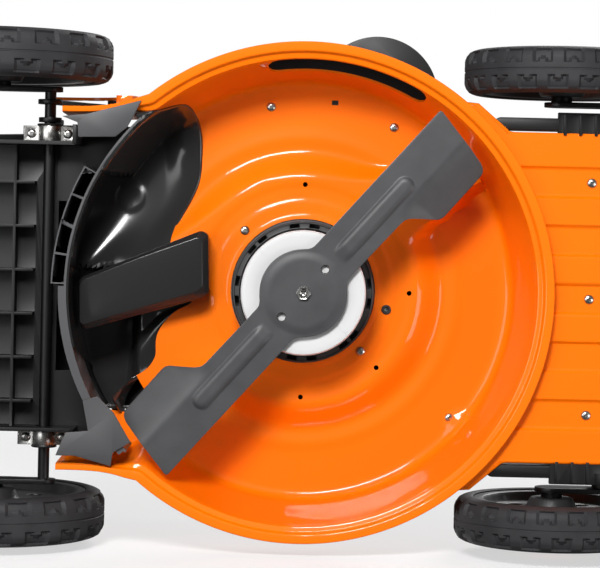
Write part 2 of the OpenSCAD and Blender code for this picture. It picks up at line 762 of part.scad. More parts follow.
module front_cowl() color("#1f1f1f") at_blade() difference() {
    upright(-cowl_half_w, 2 * cowl_half_w) cowl_profile(0);
    upright(-cowl_half_w + cover_t, 2 * (cowl_half_w - cover_t))
        translate([0, -eps]) cowl_profile(cover_t);
    block([0, -200, 0], [cowl_rear_x + 6, 200, apron_top_z + bead_h + 1]);
    // the cheeks clear the apron's front lip
    block([apron_front_x - sheet_t - gap, -200, 0], [apron_front_x + gap, 200, apron_z + lip_h + gap]);
    // the axle tube passes through the cheeks
    rod_y(front_rod_x, front_rod_z, front_rod_r + 4, -200, 200);
    upright(-200, 400) translate([front_rod_x - front_rod_r - 4, 0])
        square([2 * (front_rod_r + 4), front_rod_z]);
}

module carry_handle() color("#2b2b2b") at_blade() difference() {
    union() {
        mirror_y() translate([carry_x - 52, carry_half_w, carry_z]) rotate([0, 90, 0])
            cylinder(r = carry_r, h = 52);
        mirror_y() translate([carry_x, carry_half_w, carry_z]) sphere(carry_r);
        rod_y(carry_x, carry_z, carry_r, -carry_half_w, carry_half_w);
    }
    upright(-cowl_half_w, 2 * cowl_half_w) cowl_profile(0);
}

// ---------------------------------------------------------------- front axle
module front_axle_brackets() color("#202020") at_blade() mirror_y() difference() {
    union() {
        upright(apron_half_w + 12, 12) {
            bar2d([front_rod_x, front_rod_z], [front_rod_x, apron_z + 12], front_rod_r + 6);
            translate([front_rod_x - 60, apron_top_z]) square([83, 10]);
        }
        block([front_rod_x - 60, apron_half_w - 12, apron_top_z],
              [front_rod_x + 23, apron_half_w + 12, apron_top_z + 10]);
        for (x = [front_rod_x - 55 : 16 : front_rod_x + 10])
            block([x, apron_half_w + gap, apron_z - 2], [x + 3, apron_half_w + 22, apron_top_z + 1]);
    }
    rod_y(front_rod_x, front_rod_z, front_rod_r + run_c, 0, 300);
    translate([0, 0, apron_z - 20]) block([front_rod_x - 70, 100, 0], [front_rod_x + 40, 220, 17]);
}

// A crank plate between the rod and a wheel stub, and the stub with its head.
module crank_end(x, z, dx, rod_r, y0, wheel_y, wheel_w) {
    upright(y0 - eps, crank_t) bar2d([x, z], [x + dx, z], rod_r + 7);
    rod_y(x + dx, z, stub_r, y0, wheel_y + wheel_w - 12);
    rod_y(x + dx, z, stub_r + 4, wheel_y + wheel_w - 12 - eps, wheel_y + wheel_w - 9);
    rod_y(x + dx, z, stub_r + 5, y0 + crank_t - 2 * eps, wheel_y - gap);
}

// The upright arm that drives the link rod.
module link_crank(x, z, rod_r) {
    upright(-arm_y, arm_t) difference() {
        bar2d([x, z], [x, z + link_arm], 8);
        translate([x, z]) circle(rod_r - 1);
    }
    rod_y(x, z, rod_r + 6, -arm_y, -arm_y + arm_t);
    rod_y(x, z + link_arm, link_pin_r, -arm_y + arm_t - eps, -link_y + link_t + 1);
}

module rear_axle_rod() color("#101010") at_blade() {
    rod_y(rear_rod_x, rear_rod_z, rear_rod_r, -rear_rod_end, rear_rod_end);
    mirror_y() crank_end(rear_rod_x, rear_rod_z, -crank_r, rear_rod_r, rear_rod_end,
                         rear_wheel_y, rear_wheel_w);
    link_crank(rear_rod_x, rear_rod_z, rear_rod_r);
}

module front_axle_rod() color("#101010") at_blade() {
    rod_y(front_rod_x, front_rod_z, front_rod_r, -front_rod_end, front_rod_end);
    mirror_y() crank_end(front_rod_x, front_rod_z, -crank_r, front_rod_r, front_rod_end,
                         front_wheel_y, front_wheel_w);
    link_crank(front_rod_x, front_rod_z, front_rod_r);
}

module link_rod() color("#303030") at_blade() upright(-link_y, link_t) difference() {
    union() {
        bar2d([rear_rod_x, rear_rod_z + link_arm], [front_rod_x, front_rod_z + link_arm], 4.5);
        translate([rear_rod_x, rear_rod_z + link_arm]) circle(9);
        translate([front_rod_x, front_rod_z + link_arm]) circle(9);
    }
    translate([rear_rod_x, rear_rod_z + link_arm]) circle(link_pin_r + run_c);
    translate([front_rod_x, front_rod_z + link_arm]) circle(link_pin_r + 2 * gap);
}

module rear_axle_bushes() color("#0c0c0c") at_blade() mirror_y() difference() {
    union() {
        rod_y(rear_rod_x, rear_rod_z, bush_r, seat_y - bush_w / 2, seat_y + bush_w / 2 - 1.5);
        rod_y(rear_rod_x, rear_rod_z, bush_r + 4, seat_y + seat_w / 2 + eps, seat_y + seat_w / 2 + 2.5);
    }
    rod_y(rear_rod_x, rear_rod_z, rear_rod_r + run_c, 0, 300);
}

module rear_axle_clamps() color("lightgray") at_blade() mirror_y() difference() {
    upright(seat_y - seat_w / 2, seat_w) difference() {
        union() {
            translate([rear_rod_x, rear_rod_z]) circle(bush_r + clamp_t);
            translate([rear_rod_x - 27, rear_rod_z - clamp_t]) square([54, clamp_t]);
        }
        translate([rear_rod_x, rear_rod_z]) circle(bush_r);
        translate([rear_rod_x - 50, rear_rod_z]) square([100, 50]);
    }
    for (dx = [-tab_x, tab_x])
        translate([rear_rod_x + dx, seat_y, rear_rod_z - 10]) cylinder(r = screw_r, h = 20);
}

module clamp_screws() color("silver") at_blade() mirror_y() for (dx = [-tab_x, tab_x])
    screw_up(rear_rod_x + dx, seat_y, rear_rod_z - clamp_t, 15);

module deck_screws() color("silver") at_blade() {
    for (a = [45 : 90 : 315]) rotate([0, 0, a]) screw_up(motor_screw_r, 0, plate_z, 8);
    for (p = outer_screws) screw_up(p[0], p[1], ceiling_z, sheet_t);
    for (y = apron_screws_y) screw_up(apron_screw_x, y, apron_z + bead_h, sheet_t);
}

// ---------------------------------------------------------------- height setting
function lever_point(r, a) = [rear_rod_x + r * sin(a), rear_rod_z + r * cos(a)];

module height_quadrant() color("darkorange") at_blade() {
    low_a = lever_lean - height_swing - 4;
    high_a = lever_lean + height_swing + 4;
    upright(-quadrant_y, quadrant_t) difference() {
        polygon(concat([for (a = [low_a : 3 : high_a + 1]) lever_point(quadrant_r, a)],
                       [[-186, rear_rod_z + 30], [-203, rear_rod_z + 30]],
                       [for (a = [high_a - 2 : -3 : low_a]) lever_point(quadrant_r - 14, a)]));
        for (i = [0 : notch_count - 1])
            translate(lever_point(quadrant_r, lever_lean + height_swing * (2 * i / (notch_count - 1) - 1)))
                circle(4.5);
    }
    block([-203, -quadrant_y + quadrant_t - eps, rear_rod_z + 28],
          [-186, -skirt_half_w, rear_rod_z + 31]);
    block([-203, -quadrant_y, rear_rod_z + 28],
          [-186, -quadrant_y + quadrant_t, rear_rod_z + 31]);
}

module height_lever() color("#1a1a1a") at_blade() difference() {
    union() {
        upright(-lever_y, lever_t)
            bar2d([rear_rod_x, rear_rod_z], lever_point(lever_strip_r + 30, lever_lean), 6);
        rod_y(rear_rod_x, rear_rod_z, rear_rod_r + 7, -lever_y, -lever_y + lever_t);
    }
    rod_y(rear_rod_x, rear_rod_z, rear_rod_r, -300, 0);
}

module lever_grip() color("#151515") at_blade() difference() {
    upright(-lever_y - 6, lever_t + 12)
        bar2d(lever_point(lever_strip_r + 14, lever_lean), lever_point(lever_strip_r + 42, lever_lean), 10);
    upright(-lever_y, lever_t)
        bar2d([rear_rod_x, rear_rod_z], lever_point(lever_strip_r + 30, lever_lean), 6);
}

// ---------------------------------------------------------------- wheels
// A wheel's own axis is Y, and its inner face is at y = 0.
module tyre(r, w) rotate([-90, 0, 0]) difference() {
    rotate_extrude($fn = 96) polygon([[r - tyre_t, 0], [r - 6, 0], [r, 6], [r, w - 6], [r - 6, w], [r - tyre_t, w]]);
    translate([0, 0, w / 2 - 1.5]) difference() {
        cylinder(r = r + 1, h = 3);
        cylinder(r = r - 4, h = 3);
    }
}

module wheel(r, w) rotate([-90, 0, 0]) difference() {
    rotate_extrude($fn = 96) polygon([
        [stub_r + run_c, 0], [22, 0], [28, 12], [r - tyre_t - 16, 12], [r - tyre_t - 10, 2],
        [r - tyre_t, 2], [r - tyre_t, w - 2], [r - tyre_t - 5, w - 2], [r - tyre_t - 9, w - 14],
        [30, w - 14], [24, w - 8], [stub_r + 8, w - 8], [stub_r + 8, w - 12 - gap], [stub_r + run_c, w - 12 - gap]]);
    for (a = [0 : 45 : 315]) rotate([0, 0, a])
        translate([(r - tyre_t + 16) / 2, 0, -1]) cylinder(r = 8, h = w + 2);
}

module wheel_cap(w) rotate([-90, 0, 0]) rotate_extrude()
    polygon([[0, w + 1], [20, w], [25, w - 8], [22, w - 8], [18, w - 3], [0, w - 3]]);

module front_left() at_blade() translate([front_wheel_x, front_wheel_y, front_wheel_r]) children();
module rear_left() at_blade() translate([-rear_wheel_x, rear_wheel_y, rear_wheel_r]) children();
module front_right() mirror([0, 1, 0]) front_left() children();
module rear_right() mirror([0, 1, 0]) rear_left() children();

module front_left_tyre() color("#3e3e3e") front_left() tyre(front_wheel_r, front_wheel_w);
module front_left_wheel() color("#2a2a2a") front_left() wheel(front_wheel_r, front_wheel_w);
module front_left_cap() color("darkorange") front_left() wheel_cap(front_wheel_w);
module front_right_tyre() color("#3e3e3e") front_right() tyre(front_wheel_r, front_wheel_w);
module front_right_wheel() color("#2a2a2a") front_right() wheel(front_wheel_r, front_wheel_w);
module front_right_cap() color("darkorange") front_right() wheel_cap(front_wheel_w);
module rear_left_tyre() color("#3e3e3e") rear_left() tyre(rear_wheel_r, rear_wheel_w);
module rear_left_wheel() color("#2a2a2a") rear_left() wheel(rear_wheel_r, rear_wheel_w);
module rear_left_cap() color("darkorange") rear_left() wheel_cap(rear_wheel_w);
module rear_right_tyre() color("#3e3e3e") rear_right() tyre(rear_wheel_r, rear_wheel_w);
module rear_right_wheel() color("#2a2a2a") rear_right() wheel(rear_wheel_r, rear_wheel_w);
module rear_right_cap() color("darkorange") rear_right() wheel_cap(rear_wheel_w);

// ---------------------------------------------------------------- the handle
bracket_y = lower_tube_y - tube_r - gap;

module handle_brackets() color("#222222") at_blade() mirror_y() {
    upright(bracket_y - 4, 4) difference() {
        polygon([[-deck_rear_x + 2, deck_top_z], [-deck_rear_x + 22, deck_top_z],
                 [-262, handle_pivot_z + 16], [-handle_pivot_x - 8, handle_pivot_z + 18],
                 [-handle_pivot_x - 20, handle_pivot_z], [-handle_pivot_x - 10, handle_pivot_z - 18],
                 [-body_rear_x + 20, ceiling_z + 8], [-body_rear_x + 20, ceiling_z + eps],
                 [-deck_rear_x - 4, ceiling_z + eps], [-deck_rear_x - 4, deck_top_z]]);
        translate([-handle_pivot_x, handle_pivot_z]) circle(pivot_pin_r);
    }
    block([-deck_rear_x + 2, bracket_y - 4, deck_top_z], [-deck_rear_x + 22, bracket_y + 20, deck_top_z + 3]);
    block([-body_rear_x + 20, bracket_y - 4, ceiling_z + eps], [-deck_rear_x - 4, bracket_y + 12, ceiling_z + 3]);
}

module handle_pivot_bolts() color("silver") at_blade() mirror_y() {
    rod_y(-handle_pivot_x, handle_pivot_z, pivot_pin_r, bracket_y - 4, lower_tube_y + tube_r + 1.5);
    rod_y(-handle_pivot_x, handle_pivot_z, pivot_pin_r + 3, lower_tube_y + tube_r + gap, lower_tube_y + tube_r + 3);
}

// The handle's own frame: -X runs up along the tubes from the lower pivot.
module at_handle() at_blade()
    translate([-handle_pivot_x, 0, handle_pivot_z]) rotate([0, handle_a, 0]) children();

module lower_handle_tubes() color("#2d2d2f") at_handle() mirror_y() difference() {
    translate([0, lower_tube_y, 0]) tube_x(-end_over, lower_len + end_over, tube_r, tube_t);
    for (s = [0, lower_len])
        rod_y(-s, 0, pivot_pin_r + run_c, 0, 300);
}

module at_upper() at_handle() translate([-lower_len, 0, 0]) children();

module bar_bend(y, s, r)
    translate([-s + r, y - r, 0]) rotate([0, 0, 90]) rotate_extrude(angle = 90) translate([r, 0]) difference() {
        circle(tube_r);
        circle(tube_r - tube_t);
    }

module upper_handle_bar() color("#2d2d2f") at_upper() difference() {
    union() {
        mirror_y() {
            translate([0, upper_tube_y, 0])
                tube_x(-end_over, upper_len - handle_bend_r, tube_r, tube_t);
            bar_bend(upper_tube_y, upper_len, handle_bend_r);
        }
        translate([-upper_len, -upper_tube_y + handle_bend_r, 0]) rotate([-90, 0, 0]) difference() {
            cylinder(r = tube_r, h = 2 * (upper_tube_y - handle_bend_r));
            translate([0, 0, -1]) cylinder(r = tube_r - tube_t, h = 400);
        }
    }
    rod_y(0, 0, pivot_pin_r, -300, 300);
    mirror_y() rod_y(-bail_s, 0, bail_r + run_c, 0, upper_tube_y);
}

module foam_grip() color("#0e0e0e") at_upper() difference() {
    rod_y(-upper_len, 0, grip_r, -grip_len / 2, grip_len / 2);
    rod_y(-upper_len, 0, tube_r, -200, 200);
}

box_s0 = bail_s - 48;
box_s1 = bail_s + 24;
button_s = box_s0 + 18;

module switch_box() color("#1a1a1a") at_upper() difference() {
    block([-box_s1, -upper_tube_y - tube_r - 6, -tube_r - 6],
          [-box_s0, -upper_tube_y + tube_r + 2.4, tube_r + 16]);
    translate([0, -upper_tube_y, 0]) rotate([0, -90, 0]) cylinder(r = tube_r, h = upper_len);
    rod_y(-bail_s, 0, bail_r + run_c, -upper_tube_y, 0);
    // the lock button's well
    translate([-button_s, -upper_tube_y, tube_r + 2]) cylinder(r = 8 + gap, h = 40);
}

module lock_button() color("orangered") at_upper()
    translate([-button_s, -upper_tube_y, tube_r + 7]) cylinder(r = 8, h = 15);

module bail_lever() color("#1c1c1c") at_upper() translate([-bail_s, 0, 0]) rotate([0, bail_open_a, 0]) {
    mirror_y() {
        translate([0, bail_y, 0]) rotate([0, -90, 0]) cylinder(r = bail_r, h = bail_len - bail_bend_r);
        translate([-bail_len + bail_bend_r, bail_y - bail_bend_r, 0]) rotate([0, 0, 90])
            rotate_extrude(angle = 90) translate([bail_bend_r, 0]) circle(bail_r);
        translate([0, bail_y - bail_r, 0]) rotate([-90, 0, 0])
            cylinder(r = bail_r, h = upper_tube_y - tube_r + tube_t - bail_y + bail_r + 3);
    }
    rod_y(-bail_len, 0, bail_r, -bail_y + bail_bend_r, bail_y - bail_bend_r);
}

// A cam lever turns on its own bolt at the upper pivot, outside the bar.
module cam_lever() translate([-lower_len, 0, 0]) {
    y0 = upper_tube_y + tube_r + gap;
    rod_y(0, 0, 9, y0, y0 + 10);
    rod_y(0, 0, pivot_pin_r - run_c, lower_tube_y - tube_r - 3, y0 + 1);
    upright(y0 + 2, 6) bar2d([0, 0], [46, 0], 6);
    rod_y(0, 0, 7, lower_tube_y - tube_r - 5, lower_tube_y - tube_r - gap);
}
module left_cam_lever() color("#141414") at_handle() cam_lever();
module right_cam_lever() color("#141414") at_handle() mirror([0, 1, 0]) cam_lever();

deck_shell();
rear_body();
skid_plates();
lattice_ring();
discharge_duct();
duct_cover();
side_chute();
motor_ring();
motor_can();
stator();
motor_bearings();
controller();
motor_hood();
battery_bay();
front_cowl();
front_axle_brackets();
rear_axle_bushes();
rear_axle_clamps();
clamp_screws();
deck_screws();
handle_brackets();
handle_pivot_bolts();
height_quadrant();
carry_handle();
flap_pins();
rotor_shaft();
rotor_core();
fan_disc();
cutting_blade();
blade_washer();
blade_bolt();
rear_axle_rod();
height_lever();
lever_grip();
front_axle_rod();
link_rod();
front_left_tyre();
front_left_wheel();
front_left_cap();
front_right_tyre();
front_right_wheel();
front_right_cap();
rear_left_tyre();
rear_left_wheel();
rear_left_cap();
rear_right_tyre();
rear_right_wheel();
rear_right_cap();
lower_handle_tubes();
upper_handle_bar();
foam_grip();
switch_box();
bail_lever();
lock_button();
left_cam_lever();
right_cam_lever();
battery_pack();
safety_key();
rear_flap();
side_flap();
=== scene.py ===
"""Walk-behind rotary mower: the looks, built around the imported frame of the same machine.

Lengths are metres in the frame's own axes: +X forward, +Y the operator's left, +Z up.
Shapes are drawn in millimetres in the deck's axes, whose origin is on the ground below the blade.
"""
import json
import math

import bmesh
import bpy
from bpy.props import FloatProperty, IntProperty, PointerProperty
from mathutils import Matrix, Vector

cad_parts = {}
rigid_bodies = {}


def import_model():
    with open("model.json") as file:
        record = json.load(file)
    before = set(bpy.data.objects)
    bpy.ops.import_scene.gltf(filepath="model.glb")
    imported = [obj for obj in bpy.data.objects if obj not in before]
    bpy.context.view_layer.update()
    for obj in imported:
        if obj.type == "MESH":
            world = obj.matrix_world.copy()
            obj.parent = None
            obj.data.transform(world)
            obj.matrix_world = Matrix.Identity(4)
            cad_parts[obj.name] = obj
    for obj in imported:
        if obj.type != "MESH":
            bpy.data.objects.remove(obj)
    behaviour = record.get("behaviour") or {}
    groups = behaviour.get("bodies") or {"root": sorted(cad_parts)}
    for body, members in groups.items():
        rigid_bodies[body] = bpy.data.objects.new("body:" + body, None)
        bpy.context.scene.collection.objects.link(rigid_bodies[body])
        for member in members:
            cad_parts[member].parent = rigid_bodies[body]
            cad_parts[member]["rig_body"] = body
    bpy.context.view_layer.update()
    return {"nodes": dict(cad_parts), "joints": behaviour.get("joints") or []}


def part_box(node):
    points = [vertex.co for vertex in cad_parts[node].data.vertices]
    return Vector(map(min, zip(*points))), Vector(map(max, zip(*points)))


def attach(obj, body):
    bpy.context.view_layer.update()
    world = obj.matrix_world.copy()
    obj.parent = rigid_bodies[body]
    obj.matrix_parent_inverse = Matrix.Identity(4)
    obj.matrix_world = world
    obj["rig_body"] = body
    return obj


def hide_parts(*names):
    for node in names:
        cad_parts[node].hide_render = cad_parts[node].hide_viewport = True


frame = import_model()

bl_info = {
    "name": "Rotary Mower",
    "version": (1, 0, 0),
    "blender": (4, 5, 0),
    "location": "View3D > Sidebar > Mower",
    "description": "Builds the visual pieces and finishes of a walk-behind rotary mower",
    "category": "Object",
}

MM = 0.001
JOINTS = {joint["name"]: joint for joint in frame["joints"]}
SPINDLE_X = JOINTS["blade_spin"]["pos_m"][0]


def in_deck(node):
    """The two corners of a CAD node, in the deck's millimetres."""
    low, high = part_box(node)
    return tuple(Vector(((c.x - SPINDLE_X) / MM, c.y / MM, c.z / MM)) for c in (low, high))


def joint_mm(name):
    """Where a joint stands, in the deck's millimetres."""
    x, y, z = JOINTS[name]["pos_m"]
    return Vector(((x - SPINDLE_X) / MM, y / MM, z / MM))


# ---------------------------------------------------------------- settings
def length_setting(name, description, default_mm, low_mm, high_mm):
    """A length that a user may change, given in millimetres and kept in metres."""
    return FloatProperty(name=name, description=description, default=default_mm * MM,
                         min=low_mm * MM, max=high_mm * MM, unit="LENGTH", precision=4)


class MowerEdgeSettings(bpy.types.PropertyGroup):
    """How softly the pieces' edges are rounded."""
    moulded: length_setting("Moulded edge", "Rounding on plastic mouldings", 1.2, 0.1, 4)
    pressed: length_setting("Pressed edge", "Rounding on pressed and cut steel", 0.5, 0.05, 2)
    fine: length_setting("Fine edge", "Rounding on small fittings", 0.35, 0.05, 1)
    segments: IntProperty(name="Edge segments", description="Faces across one rounded edge",
                          default=2, min=1, max=4)


class MowerStageSettings(bpy.types.PropertyGroup):
    """The studio round the machine."""
    key_power: FloatProperty(name="Key lights", description="Power of each main light",
                             default=50.0, min=0.0, max=2000.0, unit="POWER")
    fill_power: FloatProperty(name="Fill lights", description="Power of each fill light",
                              default=14.0, min=0.0, max=2000.0, unit="POWER")
    world_light: FloatProperty(name="Surroundings", description="How bright the room's light is",
                               default=0.1, min=0.0, max=4.0)
    lens: FloatProperty(name="Lens", description="Focal length on a 36 mm sensor",
                        default=139.7, min=10.0, max=300.0)


class MowerSettings(bpy.types.PropertyGroup):
    """Everything the mower's operators read."""
    edges: PointerProperty(type=MowerEdgeSettings, name="Edges", description="Edge rounding")
    stage: PointerProperty(type=MowerStageSettings, name="Stage",
                           description="Studio light and camera")


def settings():
    return bpy.context.scene.mower


# ---------------------------------------------------------------- finishes
# a mix node has several sockets of one name, so its colours go by number
MIX_FIRST, MIX_SECOND, MIX_RESULT = 6, 7, 2


def to_linear(hex_colour):
    """Turns an sRGB hex colour into the linear RGBA that a shader socket takes."""
    channels = [int(hex_colour[i:i + 2], 16) / 255 for i in (1, 3, 5)]
    linear = [c / 12.92 if c <= 0.04045 else ((c + 0.055) / 1.055) ** 2.4 for c in channels]
    return (*linear, 1.0)


def add_node(tree, kind, inputs=None, **attributes):
    """Adds one node, sets its attributes, and sets or links its inputs."""
    made = tree.nodes.new(kind)
    for key, value in attributes.items():
        setattr(made, key, value)
    for socket, value in (inputs or {}).items():
        if isinstance(value, bpy.types.NodeSocket):
            tree.links.new(value, made.inputs[socket])
        else:
            made.inputs[socket].default_value = value
    return made


class Finish:
    """A material's node tree, with small helpers for its nodes and links."""

    def __init__(self, name, colour, rough, metal=0.0):
        self.material = bpy.data.materials.new(name)
        self.material.use_nodes = True
        self.tree = self.material.node_tree
        self.shader = self.tree.nodes["Principled BSDF"]
        self.put("Base Color", to_linear(colour))
        self.put("Roughness", rough)
        self.put("Metallic", metal)

    def put(self, socket, value):
        self.shader.inputs[socket].default_value = value
        return self

    def node(self, kind, inputs=None, **attributes):
        return add_node(self.tree, kind, inputs, **attributes)

    def link(self, output, socket):
        self.tree.links.new(output, self.shader.inputs[socket])
        return self

    def where(self):
        """Object coordinates, in metres."""
        return self.node("ShaderNodeTexCoord").outputs["Object"]

    def noise(self, size_mm, detail=3.0, roughness=0.5):
        """A noise whose lumps are size_mm across."""
        inputs = {"Vector": self.where(), "Scale": 1000.0 / size_mm, "Detail": detail,
                  "Roughness": roughness}
        return self.node("ShaderNodeTexNoise", inputs).outputs["Fac"]

    def spread(self, factor, low, high):
        """Maps the middle half of a 0..1 factor, where a noise has its values, to low..high."""
        inputs = {"Value": factor, "From Min": 0.25, "From Max": 0.75, "To Min": low,
                  "To Max": high}
        return self.node("ShaderNodeMapRange", inputs).outputs["Result"]

    def bump(self, height, depth_mm):
        inputs = {"Height": height, "Distance": depth_mm * MM, "Strength": 1.0}
        return self.link(self.node("ShaderNodeBump", inputs).outputs["Normal"], "Normal")

    def tint(self, factor, first, second):
        """Mixes two colours by a factor into the base colour."""
        inputs = {"Factor": factor, MIX_FIRST: to_linear(first), MIX_SECOND: to_linear(second)}
        mix = self.node("ShaderNodeMix", inputs, data_type="RGBA")
        return self.link(mix.outputs[MIX_RESULT], "Base Color")


def moulded(name, colour, rough, grain_mm, depth_mm, spec=0.5):
    """A moulded plastic: fine grain and a slightly uneven sheen."""
    finish = Finish(name, colour, rough).put("Specular IOR Level", spec)
    finish.bump(finish.noise(grain_mm, 2.0), depth_mm)
    finish.link(finish.spread(finish.noise(38.0), rough - 0.04, rough + 0.05), "Roughness")
    return finish


def plated(name, colour, rough):
    """Plated steel: bright, with long faint streaks left by the rolling."""
    finish = Finish(name, colour, rough, 1.0)
    finish.link(finish.spread(finish.noise(9.0, 4.0), rough - 0.06, rough + 0.1), "Roughness")
    finish.bump(finish.noise(1.6, 2.0), 0.02)
    return finish


def build_finishes():
    """One finish per real material, by the record's slot name."""
    # orange enamel: a wet-looking coat over a soft orange-peel
    paint = Finish("orange_enamel", "#ff7600", 0.5).put("Specular IOR Level", 0.1)
    paint.put("Coat Weight", 0.6).put("Coat Roughness", 0.04)
    paint.bump(paint.noise(5.5, 1.0), 0.01)
    # grey polypropylene: an even, dull skid plate
    grey = moulded("grey_polypropylene", "#474749", 0.5, 0.6, 0.03)
    # black polypropylene: dull with a spark-eroded grain
    black = moulded("black_polypropylene", "#121212", 0.45, 0.7, 0.025, 0.35)
    # polished black moulding: dark and mirror-like with a slow ripple in its reflections
    gloss = Finish("polished_black_abs", "#262626", 0.16).put("Specular IOR Level", 0.55)
    gloss.bump(gloss.noise(60.0, 1.0), 0.35)
    # motor ring: duller than the housing round it
    ring = moulded("ring_nylon", "#2f2f30", 0.5, 0.5, 0.02)
    # fan disc: pale grey filled nylon
    fan = moulded("fan_nylon", "#d2d2d2", 0.48, 0.8, 0.02, 0.35)
    # orange plastic: the battery and caps
    orange = moulded("orange_plastic", "#f26a00", 0.3, 0.8, 0.01)
    # blade: matt dark grey powder coat with a fine sandy texture
    blade = Finish("blade_powder_coat", "#48484a", 0.46).put("Specular IOR Level", 0.5)
    blade.bump(blade.noise(0.55, 2.0), 0.03)
    blade.tint(blade.spread(blade.noise(26.0, 4.0), 0.0, 1.0), "#39393b", "#454547")
    # bright zinc plate on clamps and screws
    zinc = plated("bright_zinc", "#bdbcb9", 0.26)
    # black powder coat on rods and brackets
    black_steel = moulded("black_powder_coat", "#0a0a0b", 0.38, 0.5, 0.015, 0.35)
    # handle tubes: satin charcoal enamel
    tube = moulded("charcoal_enamel", "#2a2b2d", 0.32, 0.9, 0.01)
    # motor case: cast and machined aluminium
    alloy = plated("cast_aluminium", "#a9abad", 0.38)
    # motor core: blued electrical steel
    core = plated("electrical_steel", "#6d737a", 0.35)
    # windings: lacquered copper
    copper = plated("lacquered_copper", "#b5673b", 0.3)
    # circuit case: blue-grey filled resin
    circuit = moulded("potting_resin", "#24476b", 0.4, 0.8, 0.02)
    # tyre: dry, slightly dusty rubber
    rubber = Finish("tyre_rubber", "#2c2c2d", 0.62).put("Specular IOR Level", 0.3)
    rubber.bump(rubber.noise(0.8, 3.0), 0.05)
    rubber.tint(rubber.spread(rubber.noise(30.0, 4.0), 0.0, 1.0), "#28282a", "#343436")
    # wheel centres: dark satin plastic
    wheel = moulded("wheel_plastic", "#2b2b2c", 0.4, 0.8, 0.02)
    # foam grip: dull, open-pored
    foam = Finish("grip_foam", "#151515", 0.9).put("Specular IOR Level", 0.2)
    foam.bump(foam.noise(1.4, 4.0, 0.7), 0.25)
    made = {
        "deck_paint": paint, "grey_plastic": grey, "black_plastic": black,
        "gloss_black_plastic": gloss, "ring_plastic": ring, "fan_plastic": fan,
        "orange_plastic": orange, "blade_steel": blade, "zinc_steel": zinc,
        "black_steel": black_steel, "tube_paint": tube, "motor_alloy": alloy,
        "core_steel": core, "winding_copper": copper, "circuit_case": circuit,
        "tyre_rubber": rubber, "wheel_plastic": wheel, "foam": foam,
    }
    return {name: finish.material for name, finish in made.items()}


# ---------------------------------------------------------------- mesh helpers
CAD_MERGE_MM = 0.004      # CAD corners nearer than this are one corner
SHEET_MERGE_MM = 0.02     # the same for the shapes drawn here
SLIVER_MM = 0.005         # a shorter edge is no edge
FLAT_DEGREES = 0.6        # faces that meet at less than this lie in one plane


def to_frame(point):
    """A point of the deck's millimetres in the frame's metres."""
    return Vector((point[0] * MM + SPINDLE_X, point[1] * MM, point[2] * MM))


def body_of(node):
    return frame["nodes"][node]["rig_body"]


def slot_finish(name):
    return bpy.data.materials[FINISHES[name]]


def set_up(piece, body, slot_name, nodes=()):
    """Gives a finished piece its finish, its body and the CAD nodes it stands for."""
    piece.data.materials.clear()
    piece.data.materials.append(slot_finish(slot_name))
    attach(piece, body)
    if nodes:
        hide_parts(*nodes)
    return piece


def new_piece(name, data):
    piece = bpy.data.objects.new(name, data)
    bpy.context.scene.collection.objects.link(piece)
    return piece


def smooth(piece, crease):
    """Shades a piece smooth, but for the edges sharper than crease degrees."""
    piece.data.shade_smooth()
    piece.data.set_sharp_from_angle(angle=math.radians(crease))


def bake(piece, *modifiers):
    """Adds modifiers given as (type, {settings}) and applies them all."""
    for kind, values in modifiers:
        modifier = piece.modifiers.new(kind.title(), kind)
        for key, value in values.items():
            setattr(modifier, key, value)
    bpy.context.view_layer.update()
    graph = bpy.context.evaluated_depsgraph_get()
    mesh = bpy.data.meshes.new_from_object(piece.evaluated_get(graph))
    piece.modifiers.clear()
    old = piece.data
    piece.data = mesh
    bpy.data.meshes.remove(old)
    return piece


def rounded(width, segments=None, angle=30.0):
    """A bevel modifier that rounds the edges sharper than angle."""
    return ("BEVEL", {"width": width, "segments": segments or settings().edges.segments,
                      "limit_method": "ANGLE", "angle_limit": math.radians(angle),
                      "use_clamp_overlap": True, "miter_outer": "MITER_ARC"})


def reshape(mesh, change):
    """Runs change on a mesh's editable form and writes the result back."""
    bm = bmesh.new()
    bm.from_mesh(mesh)
    change(bm)
    bm.to_mesh(mesh)
    bm.free()


def merge_doubles(bm, reach_mm=CAD_MERGE_MM):
    bmesh.ops.remove_doubles(bm, verts=bm.verts, dist=reach_mm * MM)


def from_cad(node):
    """A copy of a CAD node's mesh, merged and with its flat faces whole again."""
    mesh = frame["nodes"][node].data.copy()
    mesh.name = node + "_look"

    def clean(bm):
        merge_doubles(bm)
        bmesh.ops.dissolve_limit(bm, angle_limit=math.radians(FLAT_DEGREES), verts=bm.verts,
                                 edges=bm.edges)

    reshape(mesh, clean)
    return new_piece(node + "_look", mesh)


def keep_solids(mesh, wanted):
    """Drops each separate solid of a mesh that wanted(lowest, highest corner) refuses."""
    def drop(bm):
        for island in islands(bm):
            if not wanted(*corners_mm([v.co for v in island])):
                bmesh.ops.delete(bm, geom=island, context="VERTS")

    reshape(mesh, drop)


def islands(bm):
    """The joined-up groups of a mesh's vertices."""
    seen, found = set(), []
    for seed in bm.verts:
        if seed in seen:
            continue
        group, stack = [], [seed]
        seen.add(seed)
        while stack:
            vert = stack.pop()
            group.append(vert)
            for edge in vert.link_edges:
                other = edge.other_vert(vert)
                if other not in seen:
                    seen.add(other)
                    stack.append(other)
        found.append(group)
    return found


def corners_mm(points):
    """Lowest and highest corner of some points, in the deck's millimetres."""
    low = [min(p[i] for p in points) / MM for i in range(3)]
    high = [max(p[i] for p in points) / MM for i in range(3)]
    shift = Vector((SPINDLE_X / MM, 0, 0))
    return Vector(low) - shift, Vector(high) - shift


